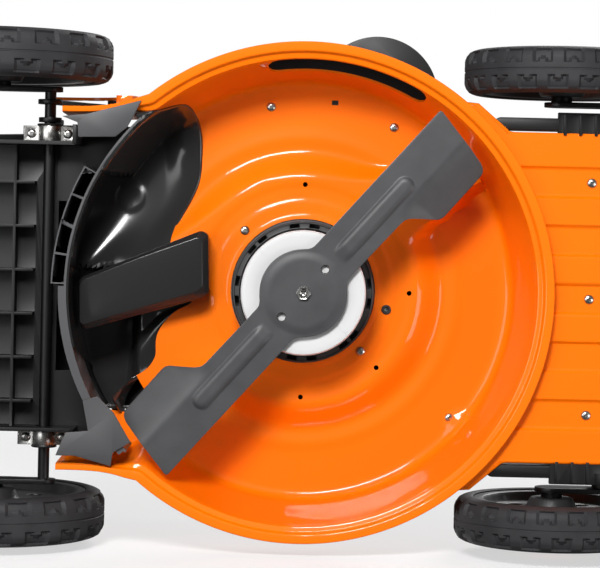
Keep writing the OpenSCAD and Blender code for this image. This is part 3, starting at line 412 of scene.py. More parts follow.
def softened(node, width, slot_name, crease=28.0, wanted=None):
    """Stands a copy with rounded edges in the place of a CAD node."""
    piece = from_cad(node)
    if wanted:
        keep_solids(piece.data, wanted)
    bake(piece, rounded(width))
    smooth(piece, crease)
    return set_up(piece, body_of(node), slot_name, [node])


# ---------------------------------------------------------------- curves and sheets
def smoothstep(low, high, value):
    """0 at low, 1 at high, eased at both ends; low may be above high."""
    t = min(max((value - low) / (high - low), 0.0), 1.0)
    return t * t * (3 - 2 * t)


def polar(radius, degrees):
    return (radius * math.cos(math.radians(degrees)), radius * math.sin(math.radians(degrees)))


def steps(low, high, count):
    return [low + (high - low) * i / count for i in range(count + 1)]


def evened(values, passes):
    """Numbers or points, each drawn towards its neighbours; the two ends stay."""
    for _ in range(passes):
        inner = [(a + b * 2 + c) / 4 for a, b, c in zip(values, values[1:], values[2:])]
        values = [values[0]] + inner + [values[-1]]
    return values


def along(points, count, passes=0):
    """Evenly spaced points along an open line, evened out by some passes."""
    line = [Vector(p) for p in points]
    lengths = [0.0]
    for a, b in zip(line, line[1:]):
        lengths.append(lengths[-1] + (b - a).length)
    made = []
    segment = 0
    for distance in steps(0, lengths[-1], count):
        while segment < len(line) - 2 and lengths[segment + 1] < distance:
            segment += 1
        span = lengths[segment + 1] - lengths[segment]
        made.append(line[segment].lerp(line[segment + 1], (distance - lengths[segment]) / span))
    return evened(made, passes)


def grid_faces(rows, columns, closed=False, first=0):
    """Quads of a grid whose points are listed row by row."""
    faces = []
    for i in range(rows - 1):
        for j in range(columns if closed else columns - 1):
            k = (j + 1) % columns
            faces.append((first + i * columns + j, first + i * columns + k,
                          first + (i + 1) * columns + k, first + (i + 1) * columns + j))
    return faces


class Sheet:
    """Points and faces gathered from several grids before they become one piece."""

    def __init__(self):
        self.points, self.faces = [], []

    def grid(self, rows, closed=False, flip=False):
        """Adds a grid of rows of points; a closed one joins the two ends of each row."""
        first = len(self.points)
        for row in rows:
            self.points += [tuple(p) for p in row]
        for face in grid_faces(len(rows), len(rows[0]), closed, first):
            self.faces.append(tuple(reversed(face)) if flip else face)
        return self

    def capped(self, rings):
        """Adds a closed grid with a lid on its first and on its last ring."""
        self.grid(rings, closed=True)
        last, count = len(self.points), len(rings[0])
        self.faces += [tuple(range(count)), tuple(range(last - 1, last - count - 1, -1))]
        return self

    def lathe(self, outline, centre=(0, 0), count=96):
        """Turns an outline of (radius, z) about an upright axis."""
        rows = [[(centre[0] + r * math.cos(a), centre[1] + r * math.sin(a), z)
                 for a in (math.tau * i / count for i in range(count))] for r, z in outline]
        return self.grid(rows, closed=True)

    def mesh(self, name):
        bm = bmesh.new()
        made = [bm.verts.new(to_frame(p)) for p in self.points]
        for face in self.faces:
            corners = [made[i] for i in dict.fromkeys(face)]
            if len(corners) > 2:
                bm.faces.new(corners)
        merge_doubles(bm, SHEET_MERGE_MM)
        bmesh.ops.dissolve_degenerate(bm, edges=bm.edges, dist=SLIVER_MM * MM)
        loose = [v for v in bm.verts if not v.link_faces]
        bmesh.ops.delete(bm, geom=loose, context="VERTS")
        mesh = bpy.data.meshes.new(name)
        bm.to_mesh(mesh)
        bm.free()
        return mesh

    def piece(self, name, crease=32.0, outward=False):
        """Makes the gathered faces a piece; a closed shape turns its faces outward."""
        piece = new_piece(name, self.mesh(name))
        if outward:
            reshape(piece.data, lambda bm: bmesh.ops.recalc_face_normals(bm, faces=bm.faces))
        smooth(piece, crease)
        return piece


def join(first, *others):
    """Makes several pieces into the first one."""
    pieces = [first, *others]
    with bpy.context.temp_override(active_object=first, selected_editable_objects=pieces,
                                   selected_objects=pieces):
        bpy.ops.object.join()
    return first


def thick(t):
    """A solidify modifier, t millimetres away from the side the faces look to."""
    return ("SOLIDIFY", {"thickness": t * MM, "offset": -1.0, "use_even_offset": True,
                         "use_quality_normals": True})


def cut(piece, *cutters):
    """Takes the cutters away from a piece and removes them."""
    bake(piece, *[("BOOLEAN", {"operation": "DIFFERENCE", "object": c, "solver": "EXACT"})
                  for c in cutters])
    for cutter in cutters:
        bpy.data.objects.remove(cutter)
    return piece


def turned(name, outline, centre=(0, 0), count=40, crease=32.0):
    """A solid turned from an outline of (radius, z) about an upright axis."""
    return Sheet().lathe(outline, centre, count).piece(name, crease, outward=True)


def round_cutter(x, y, radius, low, high):
    """A closed upright cylinder that is only used to cut."""
    outline = [(0.0, low), (radius, low), (radius, high), (0.0, high)]
    return turned("cutter", outline, (x, y), 28)


def slab(name, outline, low, high, crease=30.0):
    """An upright prism over a closed flat outline."""
    rings = [[(x, y, z) for x, y in outline] for z in (low, high)]
    return Sheet().capped(rings).piece(name, crease, outward=True)


def box_outline(x0, y0, x1, y1):
    return [(x0, y0), (x1, y0), (x1, y1), (x0, y1)]


def plate_outline(points, radius, count=6):
    """A closed flat outline with its corners rounded."""
    corners = [Vector(p) for p in points]
    made = []
    for i, corner in enumerate(corners):
        before, after = corners[i - 1] - corner, corners[(i + 1) % len(corners)] - corner
        reach = min(radius, before.length * 0.45, after.length * 0.45)
        p, q = corner + before.normalized() * reach, corner + after.normalized() * reach
        for t in steps(0, 1, count):
            made.append(tuple(p * (1 - t) ** 2 + corner * 2 * t * (1 - t) + q * t * t))
    return made


# ---------------------------------------------------------------- the deck
RIM_R = 258.4
RIM_Z = 50.0
CEILING_Z = 150.0
PLATE_Z = 134.0
SHEET_T = 2.0
MOTOR_HOLE_R = 76.5
STEP_OUT_R, STEP_IN_R = 152.0, 118.0
APRON_Z = 60.0
GROMMET_AT = (89, 18)
# the inside of the deck from its rim inward: (distance in from the rim, height)
DECK_PROFILE = [
    (0.0, 51.6), (0.2, 50.5), (0.9, 50.0), (8.0, 50.0), (9.2, 50.3), (10.2, 51.4), (10.8, 53.2),
    (11.6, 54.6), (12.8, 55.2), (15.6, 55.6), (16.8, 56.2), (17.4, 57.6), (19.0, 66.0),
    (22.0, 82.0),
    (25.2, 97.0), (28.4, 112.0), (31.4, 127.0), (33.6, 138.0), (34.6, 141.8), (36.4, 145.4),
    (39.0, 148.2), (42.2, 149.7), (46.0, 150.0), (51.0, 150.0), (56.0, 150.0), (60.0, 150.0),
]
# the same at the rear corners, where the wall is a plain skirt
SKIRT_PROFILE = [
    (0.0, 51.6), (0.2, 50.5), (0.7, 50.0), (4.4, 50.0), (5.4, 50.3), (6.0, 51.4), (6.3, 53.2),
    (6.5, 55.0), (6.6, 57.0), (6.7, 59.0), (6.8, 61.0), (6.9, 64.0), (7.0, 70.0), (7.2, 84.0),
    (7.4, 98.0), (7.6, 112.0), (7.8, 127.0), (8.2, 138.0), (8.8, 142.0), (10.0, 145.6),
    (12.0, 148.2), (15.0, 149.7), (20.0, 150.0), (30.0, 150.0), (42.0, 150.0), (56.0, 150.0),
]
# the edge where the duct's liner meets the ceiling, from the right wall to the left one
MOUTH = [
    (-175, -178, 51.5), (-160, -182.5, 55), (-146.5, -187, 74), (-133, -193, 95),
    (-124, -190, 118), (-115.5, -175, 140), (-112.5, -156, 146), (-113, -140, 149),
    (-113, -116, 149), (-121, -97, 149), (-134, -73, 149), (-141, -52, 148), (-141, -30, 146),
    (-135, -10, 144), (-122, 6, 142), (-112, 14, 141), (-133, 23, 142), (-144, 34, 143),
    (-153, 47, 145), (-155, 61, 147), (-152, 71, 149), (-161, 86, 149), (-184, 100, 146),
    (-199, 117, 128),
]
MOUTH_STEPS = 120
# the rows and points that a skirt takes to grow out of the round wall
SKIRT_STEPS, SKIRT_FADE = 40, 16
# the apron: half its width, where its corner starts, and the lip's front
APRON_HALF, APRON_CORNER, APRON_FRONT = 168, 160, 341
BEAD_GAP, BEAD_H = 60.0, 3.2
# the side slot: middle and half of its turn, its height, and the rounding of its ends
SLOT_MIDDLE, SLOT_HALF, SLOT_LOW, SLOT_HIGH = -79.5, 20.5, 59.0, 104.0
SLOT_END_TURN, SLOT_END_R = 3.2, 14.0


def mouth_line():
    return along(MOUTH, MOUTH_STEPS, 5)


def plateau(x, y):
    """0 inside the low keyhole round the motor, rising to 1 outside its step."""
    radius = math.hypot(x, y)
    circle = (radius - STEP_IN_R) / (STEP_OUT_R - STEP_IN_R)
    # how far a point lies outside each of the neck's two straight sides
    upper = ((x + 39) * -53 + (y + 115) * -82) / 97.6
    lower = ((x + 100) * 15 + (y - 85) * 50) / 52.2
    neck = max(upper, lower) / 15.0 + max(0.0, (x + 45) / 30.0)
    soft = 0.22
    mixed = -soft * math.log(math.exp(-circle / soft) + math.exp(-min(neck, 6.0) / soft))
    return smoothstep(0.0, 1.0, mixed)


def ceiling(x, y):
    """Height of the deck's pressed ceiling."""
    radius = math.hypot(x, y)
    raised = plateau(x, y)
    z = PLATE_Z + (CEILING_Z - PLATE_Z) * raised
    # a shallow ridge outside the step, a groove inside it, and a lip round the motor's hole
    z -= 1.4 * math.exp(-((radius - 163) / 8.0) ** 2) * raised
    z += 1.2 * smoothstep(94, 99, radius) * (1 - smoothstep(108, 118, radius))
    z -= 1.1 * (1 - smoothstep(79, 82.5, radius))
    # a raised pad, open to the wall, under the third outer screw
    reach = math.hypot(172, 143)
    outward = (x * 172 + y * 143) / reach
    across = abs(-x * 143 + y * 172) / reach
    pad = math.hypot(max(0.0, reach - outward), across)
    z -= 3.2 * (1 - smoothstep(13.0, 17.5, pad)) if outward > 150 else 0.0
    return z


def rim_line():
    """Points along the rim: the right skirt, the round wall and the left skirt."""
    circle = [polar(RIM_R, a) for a in steps(-129.0, 130.5, 173)]
    right = [(-175, -197.0), (-186, -192.5), (-205, -188.6), (-225, -187), (-251, -187)]
    left = [(-180, 194.0), (-191, 190.5), (-208, 187.8), (-228, 187), (-251, 187)]
    right = along([circle[0], *right], SKIRT_STEPS, 12)[1:]
    left = along([circle[-1], *left], SKIRT_STEPS, 12)[1:]
    return [tuple(p) for p in reversed(right)], circle, [tuple(p) for p in left]


def with_left(line):
    """The points of a flat line, each with the direction to the left of it."""
    points = [Vector(p) for p in line]
    for i, point in enumerate(points):
        way = (points[min(i + 1, len(points) - 1)] - points[max(i - 1, 0)]).normalized()
        yield point, Vector((-way.y, way.x))


def deck_sweep():
    """The rim and the wall of the deck, swept along the rim's line."""
    right, circle, left = rim_line()
    rows = []
    for i, (point, inward) in enumerate(with_left(right + circle + left)):
        past = max(len(right) - i, i - len(right) - len(circle) + 1)
        skirt = smoothstep(0, SKIRT_FADE, past)
        row = []
        for (n0, z0), (n1, z1) in zip(DECK_PROFILE, SKIRT_PROFILE):
            n, z = n0 + (n1 - n0) * skirt, z0 + (z1 - z0) * skirt
            at = point + inward * n
            if skirt == 0.0 and n > 36:
                z = ceiling(at.x, at.y) - (CEILING_Z - z)
            row.append((at.x, at.y, z))
        rows.append(row)
    return rows


def apron_rows():
    """The front apron with its pressed beads, from the wall forward."""
    rows = []
    across = (steps(-197, -169, 8) + steps(-APRON_HALF, -APRON_CORNER, 8) + steps(-159, 159, 240)
              + steps(APRON_CORNER, APRON_HALF, 8) + steps(169, 197, 8))
    corner = APRON_HALF - APRON_CORNER
    for y in across:
        far = abs(y)
        start = math.sqrt(242.0 ** 2 - far ** 2)
        if far > APRON_HALF:
            end = 208 - (far - APRON_HALF) * 33 / 29
        else:
            turned_in = max(0.0, far - APRON_CORNER)
            end = APRON_FRONT - corner + math.sqrt(corner ** 2 - turned_in ** 2)
        bead = min(abs(y - i * BEAD_GAP) for i in range(-2, 3))
        row = []
        for x in steps(start, end, 32):
            gap = math.hypot(max(0.0, x - 308), bead)
            height = BEAD_H * (1 - smoothstep(13.0, 17.0, gap))
            row.append((x, y, APRON_Z + height * smoothstep(246, 258, math.hypot(x, y))))
        rows.append(row)
    return rows


def apron_lip():
    """The turned-up lip round the apron's sides and front."""
    half = [(150, -199), (175, -197), (207, -169.5), (213, -APRON_HALF)]
    half += [(x, -APRON_HALF) for x in steps(225, 325, 8)]
    corner = APRON_HALF - APRON_CORNER
    half += [(APRON_FRONT - corner + corner * math.sin(a), -APRON_CORNER - corner * math.cos(a))
             for a in steps(0, math.pi / 2, 6)]
    profile = ((0, 0), (1.0, 0.2), (1.9, 0.7), (2.6, 1.6), (2.9, 2.8), (3.0, 4.5), (3.0, 14.0))
    return [[(*(point - inward * n), APRON_Z + z) for n, z in profile]
            for point, inward in with_left(half + [(x, -y) for x, y in reversed(half)])]


def side_slot():
    """A cutter for the long slot in the right wall, with rounded ends."""
    rings = []
    for a in steps(SLOT_MIDDLE - SLOT_HALF, SLOT_MIDDLE + SLOT_HALF, 40):
        past = max(0.0, abs(a - SLOT_MIDDLE) - SLOT_HALF + SLOT_END_TURN) / SLOT_END_TURN
        ease = SLOT_END_R * (1 - math.sqrt(max(0.0, 1 - past ** 2)))
        rings.append([(*polar(r, a), z) for r, z in (
            (205, SLOT_LOW + ease), (268, SLOT_LOW + ease),
            (268, SLOT_HIGH - ease), (205, SLOT_HIGH - ease))])
    return Sheet().capped(rings).piece("cutter", outward=True)


class MOWER_OT_deck(bpy.types.Operator):
    """Builds the pressed deck: rim, wall, keyhole ceiling, skirts and beaded apron"""
    bl_idname = "mower.deck"
    bl_label = "Deck"

    def execute(self, context):
        turns = [math.degrees(math.atan2(y, x)) for x, y in rim_line()[1]]
        turns += steps(turns[-1], 360 + turns[0], 67)[1:-1]
        flat = [[(*p, ceiling(*p)) for p in (polar(radius, a) for a in turns)]
                for radius in steps(MOTOR_HOLE_R, RIM_R - DECK_PROFILE[-1][0], 52)]
        deck = Sheet().grid(deck_sweep()).grid(flat, closed=True).piece("deck")
        bake(deck, thick(SHEET_T))
        front = Sheet().grid(apron_rows(), flip=True).grid(apron_lip(), flip=True)
        front = bake(front.piece("apron", 40), thick(SHEET_T))
        # screw holes and the grommet's hole
        spots = [(*polar(113, a), 2.6) for a in (0, 45, 90, 270)] + [(*GROMMET_AT, 4.2)]
        cutters = [side_slot()] + [round_cutter(x, y, r, 120, 160) for x, y, r in spots]
        # a small oblong hole beside the right wall
        cutters.append(slab("cutter", box_outline(26.5, -203.5, 33.5, -198.5), 140, 160))
        # the ceiling is open inside the duct's mouth
        mouth = [(p.x - 1.0, p.y) for p in mouth_line()]
        mouth += [(-330, mouth[-1][1]), (-330, mouth[0][1])]
        cut(deck, *cutters, slab("cutter", mouth, 127.5, 175))
        smooth(join(deck, front), 34)
        set_up(deck, "deck", "deck_paint", ["deck_shell"])
        return {"FINISHED"}


# ---------------------------------------------------------------- blade
BLADE_PARK = -48.5
BLADE_Z = 60.0
BLADE_T = 3.0
ARM_LENGTH = 234.5
HUB_R = 45.5
NECK_HALF = 24.4
WING_FROM, WING_TO, WING_HALF = 128, 152, 52.5
PEG_HOLES = ((22, -25), (-22, 25))


def blade_edges():
    """Half-widths of a blade arm on its straight and winged sides, by distance from the hub."""
    reach = steps(0, ARM_LENGTH, 235)
    straight, wing = [], []
    for s in reach:
        hub = math.sqrt(max(0.0, HUB_R ** 2 - s ** 2))
        straight.append(max(hub, NECK_HALF))
        if s < WING_FROM:
            wing.append(max(hub, NECK_HALF + 0.6 * smoothstep(60, WING_FROM, s)))
        elif s < WING_TO:
            wing.append(25 + (WING_HALF - 25) * (s - WING_FROM) / (WING_TO - WING_FROM))
        else:
            wing.append(WING_HALF - (s - WING_TO) / 82)
    return reach, evened(straight, 26), evened(wing, 26)


def blade_height(s, p):
    """How far a point of the flat blade stands towards the ground (minus) or the deck (plus)."""
    bead = 1 - smoothstep(4.5, 9.5, math.hypot(max(0.0, s - WING_TO), p - 2))
    bead *= smoothstep(50, 66, s)
    flare = 1 - smoothstep(34, 44, math.hypot(s, p))
    lift = smoothstep(112, 150, s) * max(0.0, p - 14.0)
    soft = lift * lift / (lift + 7.0)
    return -2.6 * bead - 1.5 * flare + 0.53 * soft


def blade_row(s, low, high, turn):
    """The points across a blade arm at a distance from the hub."""
    def rounding(radius):
        """What a rounded outer corner takes off the arm's half-width here."""
        past = max(0.0, radius - (ARM_LENGTH - s))
        return radius - math.sqrt(max(0.0, radius ** 2 - past ** 2))

    row = []
    for p in steps(low + rounding(3.0), high - rounding(9.0), 40):
        x = s - 13.0 * smoothstep(190, ARM_LENGTH, s) * max(0.0, (p + 24.0) / 75.0)
        row.append((x * math.cos(turn) - p * math.sin(turn),
                    x * math.sin(turn) + p * math.cos(turn), BLADE_Z + blade_height(s, p)))
    return row


class MOWER_OT_blade(bpy.types.Operator):
    """Builds the cutting blade with its pressed beads and turned-up wings"""
    bl_idname = "mower.blade"
    bl_label = "Blade"

    def execute(self, context):
        sheet = Sheet()
        for arm in (0.0, math.pi):
            turn = math.radians(BLADE_PARK) + arm
            # every other row is left out where the arm is plain
            sheet.grid([blade_row(s, -straight, wing, turn)
                        for i, (s, straight, wing) in enumerate(zip(*blade_edges()))
                        if i % 2 == 0 or i >= 220 or 110 < i < 165], flip=True)
        blade = bake(sheet.piece("blade"), thick(BLADE_T))
        cut(blade, *[round_cutter(x, y, 4.6, 40, 90) for x, y in PEG_HOLES])
        bake(blade, rounded(0.55 * MM, 2, 50))
        smooth(blade, 40)
        set_up(blade, "blade_rotor", "blade_steel", ["cutting_blade"])
        return {"FINISHED"}


# ---------------------------------------------------------------- discharge duct
LINER_END_R = 243.2       # the liner ends in front of the round wall
LINER_T = 1.8
ROOF_FRONT_X = -118.0     # the duct's roof slopes from here to the rear
# the discharge cover: its outline on the ceiling, and the smaller one of its face
COVER_FOOT = [(-236, -9), (-170, -36), (-108, -62), (-100.5, -58), (-98.5, 3), (-106, 9),
              (-232, 46)]
COVER_FACE = [(-234, -6), (-171, -32.5), (-112, -54.5), (-107, -51), (-105.5, -4), (-111, 1.5),
              (-233, 40)]


def softer(value, soft):
    """value where it is positive and 0 where it is negative, with a soft knee."""
    return soft * math.log1p(math.exp(min(value / soft, 60.0)))


def roof_z(x):
    """Underside of the duct's roof at a distance along the deck."""
    low, high = in_deck("discharge_duct")
    along_roof = max(0.0, (ROOF_FRONT_X - x) / (ROOF_FRONT_X - low.x))
    return 160 + (high.z - 167) * along_roof - 4.5


def liner_z(x, y):
    """Height of the duct's moulded liner away from its mouth."""
    # a plane that climbs away from the deck, with a fold down its middle
    depth = -((x + 113.5) * 0.75 + (y + 121.6) * 0.66)
    fold = (x + 136.6) * -0.66 + (y + 137) * 0.75
    z = 149 + 0.148 * (softer(depth + 14, 4) - 14)
    z -= 1.6 * math.exp(-(fold / 9.0) ** 2) * smoothstep(-168, -120, x)
    # the long swell beside the cover and the flat boss above it
    length = ((x + 235) * -0.64 + (y + 18) * 0.77) / 55
    width = ((x + 235) * 0.77 + (y + 18) * 0.64) / 24
    z -= 15.5 * math.exp(-length ** 2 - width ** 2)
    z -= 0.7 * (1 - smoothstep(13.0, 17.5, math.hypot(x + 186, y + 96)))
    # the lower lobe stays near the deck and then drops away
    if y > -20:
        step = smoothstep(-172, -182, x) if x < -172 else 0.0
        z = 148.5 + 3 * smoothstep(-120, -170, x) + 26 * step
    high = roof_z(x)
    if y < -120:
        # it stays in front of the deck's wall
        high = min(high, 51 + 4.94 * max(0.0, 241.5 - math.hypot(x, y)))
    return high - softer(high - z, 3.0)


def duct_rows():
    """The glossy liner: from its mouth on the deck to the arch behind the round wall."""
    rows = []
    for i, start in enumerate(mouth_line()):
        turn = 225 - 88 * i / MOUTH_STEPS
        end = polar(LINER_END_R, turn)
        back = start.xy - Vector(end)
        span = back.length
        away = back.normalized()
        # a small rolled edge, out over the ceiling
        row = [(*(start.xy + away * n), start.z + h)
               for n, h in ((1.2, 2.4), (1.1, 1.0), (0.6, 0.2))]
        for t in steps(0, 1, 76):
            x, y = start.x + (end[0] - start.x) * t, start.y + (end[1] - start.y) * t
            joined = smoothstep(0.0, min(44.0, span), span * t)
            row.append((x, y, start.z + (liner_z(x, y) - start.z) * joined))
        # it comes down the round wall, almost to the rim
        head = row[-1][2]
        foot = head - (head - RIM_Z - 1.0) * smoothstep(158, 166, turn)
        row += [(*end, head + (foot - head) * t) for t in (0.1, 0.4, 0.7, 1.0)]
        rows.append(row)
    return rows


class MOWER_OT_duct(bpy.types.Operator):
    """Builds the discharge duct: glossy liner, side walls, cover, skid plates and dark plates of
    painted shade
    """
    bl_idname = "mower.duct"
    bl_label = "Discharge duct"

    def execute(self, context):
        edges = settings().edges
        liner = Sheet().grid(duct_rows()).piece("duct_liner", 60)
        bake(liner, ("SOLIDIFY", {"thickness": LINER_T * MM, "offset": 1.0}))
        smooth(liner, 45)
        set_up(liner, "deck", "gloss_black_plastic")
        # the liner takes the place of the flat deflector and of the right side wall's foot
        duct = softened("discharge_duct", edges.moulded, "gloss_black_plastic",
                        wanted=lambda low, high: low.z > 100)
        rings = []
        for x in steps(-237, -121, 24):
            top = liner_z(x, -129.5) + 1.2
            rings.append([(x, y, z) for y, z in ((-134, 100), (-125, 100), (-125, top),
                                                 (-134, top))])
        cut(duct, Sheet().capped(rings).piece("cutter", outward=True))
        smooth(duct, 28)
        cover = Sheet().capped([
            [(x, y, z) for x, y in plate_outline(outline, 7.0)]
            for outline, z in ((COVER_FACE, 96.0), (COVER_FOOT, 103.0), (COVER_FOOT, 149.0))])
        cover = bake(cover.piece("cover", outward=True), rounded(1.6 * MM, 3, 20))
        smooth(cover, 30)
        set_up(cover, "deck", "gloss_black_plastic", ["duct_cover"])
        softened("skid_plates", edges.moulded * 0.6, "grey_plastic")
        # painted shade: dark plates over the oblong hole, behind the side slot and behind the round
        # wall stand in for the shade seen through these openings
        shade_plate = slab("shade_plate", box_outline(25, -205, 35, -197), 152.1, 153.6)
        band = [polar(233.5, a) for a in steps(-101.5, -57.5, 24)]
        band += [polar(245.5, a) for a in steps(-57.5, -101.5, 24)]
        arc = [polar(247.5, a) for a in steps(-138.2, -159, 12)]
        pocket = [(-262, -165), *arc, (-262, -90)]
        mirrored = [(x, -y) for x, y in reversed(pocket)]
        join(shade_plate, slab("shade_plate", band, 105.5, 107.5),
             *[slab("shade_plate", outline, 129.0, 131.0) for outline in (pocket, mirrored)])
        set_up(shade_plate, "deck", "black_plastic")
        return {"FINISHED"}


# ---------------------------------------------------------------- motor face
class MOWER_OT_motor_face(bpy.types.Operator):
    """Builds the fan disc, the slotted ring round it and the blade's bolt"""
    bl_idname = "mower.motor_face"
    bl_label = "Motor face"

    def execute(self, context):
        self.fan()
        self.ring()
        self.washer()
        self.bolt()
        return {"FINISHED"}

    def fan(self):
        low, high = in_deck("fan_disc")
        top, face = high.z, low.z
        outline = [(8.2, top), (8.2, face + 6), (40, face + 6), (43, face + 1.2), (46, face + 0.6),
                   (58, face + 0.2), (61, face), (63.5, face + 0.5), (64.8, face + 2.4),
                   (64.8, top - 1.2), (63.6, top), (8.2, top)]
        disc = turned("fan", outline, count=120, crease=30)
        # four fine radial lines
        lines = [[polar(45, a - 0.5), polar(63, a - 0.36), polar(63, a + 0.36), polar(45, a + 0.5)]
                 for a in (43, 133, 223, 313)]
        cut(disc, *[slab("cutter", line, face - 2, face + 0.9) for line in lines])
        # the pegs that show in the blade's two holes
        pegs = Sheet()
        for centre in PEG_HOLES:
            pegs.lathe([(0.0, 61.2), (4.0, 61.2), (4.4, 61.7), (4.4, face + 7), (0.0, face + 7)],
                       centre, 28)
        join(disc, pegs.piece("pegs", outward=True))
        smooth(disc, 30)
        set_up(disc, "blade_rotor", "fan_plastic", ["fan_disc"])

    def ring(self):
        low, high = in_deck("motor_ring")
        bottom, top = low.z, high.z
        flange = max(-low.x, high.x)
        seat = PLATE_Z + 2.2
        outline = [(65.9, bottom + 4), (66.2, bottom + 1.2), (66.8, bottom + 0.6),
                   (67.4, bottom + 0.8), (71.4, bottom + 0.8), (72.0, bottom), (73.2, bottom),
                   (74.0, bottom + 1.0), (74.0, PLATE_Z - 1.6), (75.4, PLATE_Z - 1.4),
                   (76.0, PLATE_Z - 0.4), (76.0, seat), (flange, seat), (flange, PLATE_Z + 5),
                   (70.5, PLATE_Z + 5), (70.5, top), (67.5, top), (67.5, bottom + 22),
                   (65.9, bottom + 22), (65.9, bottom + 4)]
        ring = turned("motor_ring_look", outline, count=144, crease=28)
        # eight pairs of slots, wide apart and close together by turns
        middles = [45 * i + side * (6.2 if i % 2 else 8.6) for i in range(8) for side in (-1, 1)]
        slots = [[polar(67.4, a + t) for t in (-4.4, 0, 4.4)]
                 + [polar(71.6, a + t) for t in (4.4, 0, -4.4)] for a in middles]
        cut(ring, *[slab("cutter", slot, bottom - 3, bottom + 16) for slot in slots])
        smooth(ring, 28)
        set_up(ring, "deck", "ring_plastic", ["motor_ring"])

    def washer(self):
        low, high = in_deck("blade_washer")
        bore, radius = 6.6, high.x
        outline = [(bore, high.z), (radius - 0.6, high.z), (radius, high.z - 0.6),
                   (radius, low.z + 0.7), (radius - 0.7, low.z), (radius - 1.8, low.z + 0.3),
                   (bore, low.z + 0.8), (bore, high.z)]
        washer = turned("washer", outline, count=64, crease=30)
        set_up(washer, "blade_rotor", "zinc_steel", ["blade_washer"])

    def bolt(self):
        """A hexagon bolt with a cupped head and a crossed recess."""
        foot = in_deck("blade_bolt")[0].z
        bolt = bake(from_cad("blade_bolt"), rounded(0.5 * MM))
        cup = turned("cutter", [(0, foot - 1), (4.4, foot - 1), (4.4, foot + 0.35),
                                (0, foot + 0.35)])
        cut(bolt, cup, *[slab("cutter", box_outline(-r, -w, r, w), foot - 1, foot + 1.6)
                         for r, w in ((3.6, 0.9), (0.9, 3.6))])
        smooth(bolt, 25)
        set_up(bolt, "blade_rotor", "zinc_steel", ["blade_bolt"])


# ---------------------------------------------------------------- screws
def screw_boxes(node):
    """Lowest and highest corner of each solid in a node of upright screws."""
    bm = bmesh.new()
    bm.from_mesh(frame["nodes"][node].data)
    merge_doubles(bm)
    found = [corners_mm([v.co for v in island]) for island in islands(bm)]
    bm.free()
    return found


def lobed_outline(x, y):
    """The outline of a six-lobed driver's recess."""
    turns = [math.tau * i / 36 for i in range(36)]
    radii = [1.55 + 0.42 * math.cos(6 * a) for a in turns]
    return [(x + r * math.cos(a), y + r * math.sin(a)) for r, a in zip(radii, turns)]


def pan_screws(node, slot_name):
    """Pan-head screws with a six-lobed recess, pointing up."""
    head = [(0, 0.25), (0.35, 0.2), (0.62, 0.5), (0.85, 1.1), (0.97, 1.8), (1, 2.3), (0.98, 2.5)]
    screws = []
    for low, high in screw_boxes(node):
        x, y, _ = (low + high) / 2
        radius = (high.x - low.x) / 2
        shank = radius * 0.5
        outline = [(radius * part, low.z + rise) for part, rise in head]
        outline += [(shank, low.z + 2.5), (shank, high.z - 0.6), (shank - 0.5, high.z),
                    (0, high.z)]
        screw = turned(node + "_screw", outline, (x, y), crease=30)
        screws.append(cut(screw, slab("cutter", lobed_outline(x, y), low.z - 1, low.z + 1.5)))
    first = join(*screws)
    smooth(first, 30)
    return set_up(first, body_of(node), slot_name, [node])


class MOWER_OT_screws(bpy.types.Operator):
    """Builds the deck's and clamps' screws, and a rubber grommet"""
    bl_idname = "mower.screws"
    bl_label = "Screws"

    def execute(self, context):
        for node in ("deck_screws", "clamp_screws"):
            pan_screws(node, "zinc_steel")
        # the grommet in the motor plate, as radius and height above the plate
        profile = [(2.0, 2), (2.0, -0.6), (2.6, -1.6), (3.8, -1.9), (4.8, -1.4), (5.2, 0),
                   (4.0, 0), (4.0, 2.6), (2.0, 2.6), (2.0, 2)]
        grommet = turned("grommet", [(r, PLATE_Z + rise) for r, rise in profile], GROMMET_AT,
                         crease=40)
        set_up(grommet, "deck", "tyre_rubber")
        return {"FINISHED"}


# ---------------------------------------------------------------- wheels
TYRE_DEPTH = 20.0
POCKET_DEPTH, SEAM_DEPTH = 3.4, 0.7
POCKET_HALF = 0.30        # half a pocket's length, as a part of the lugs' spacing
POINTS_PER_LUG = 12


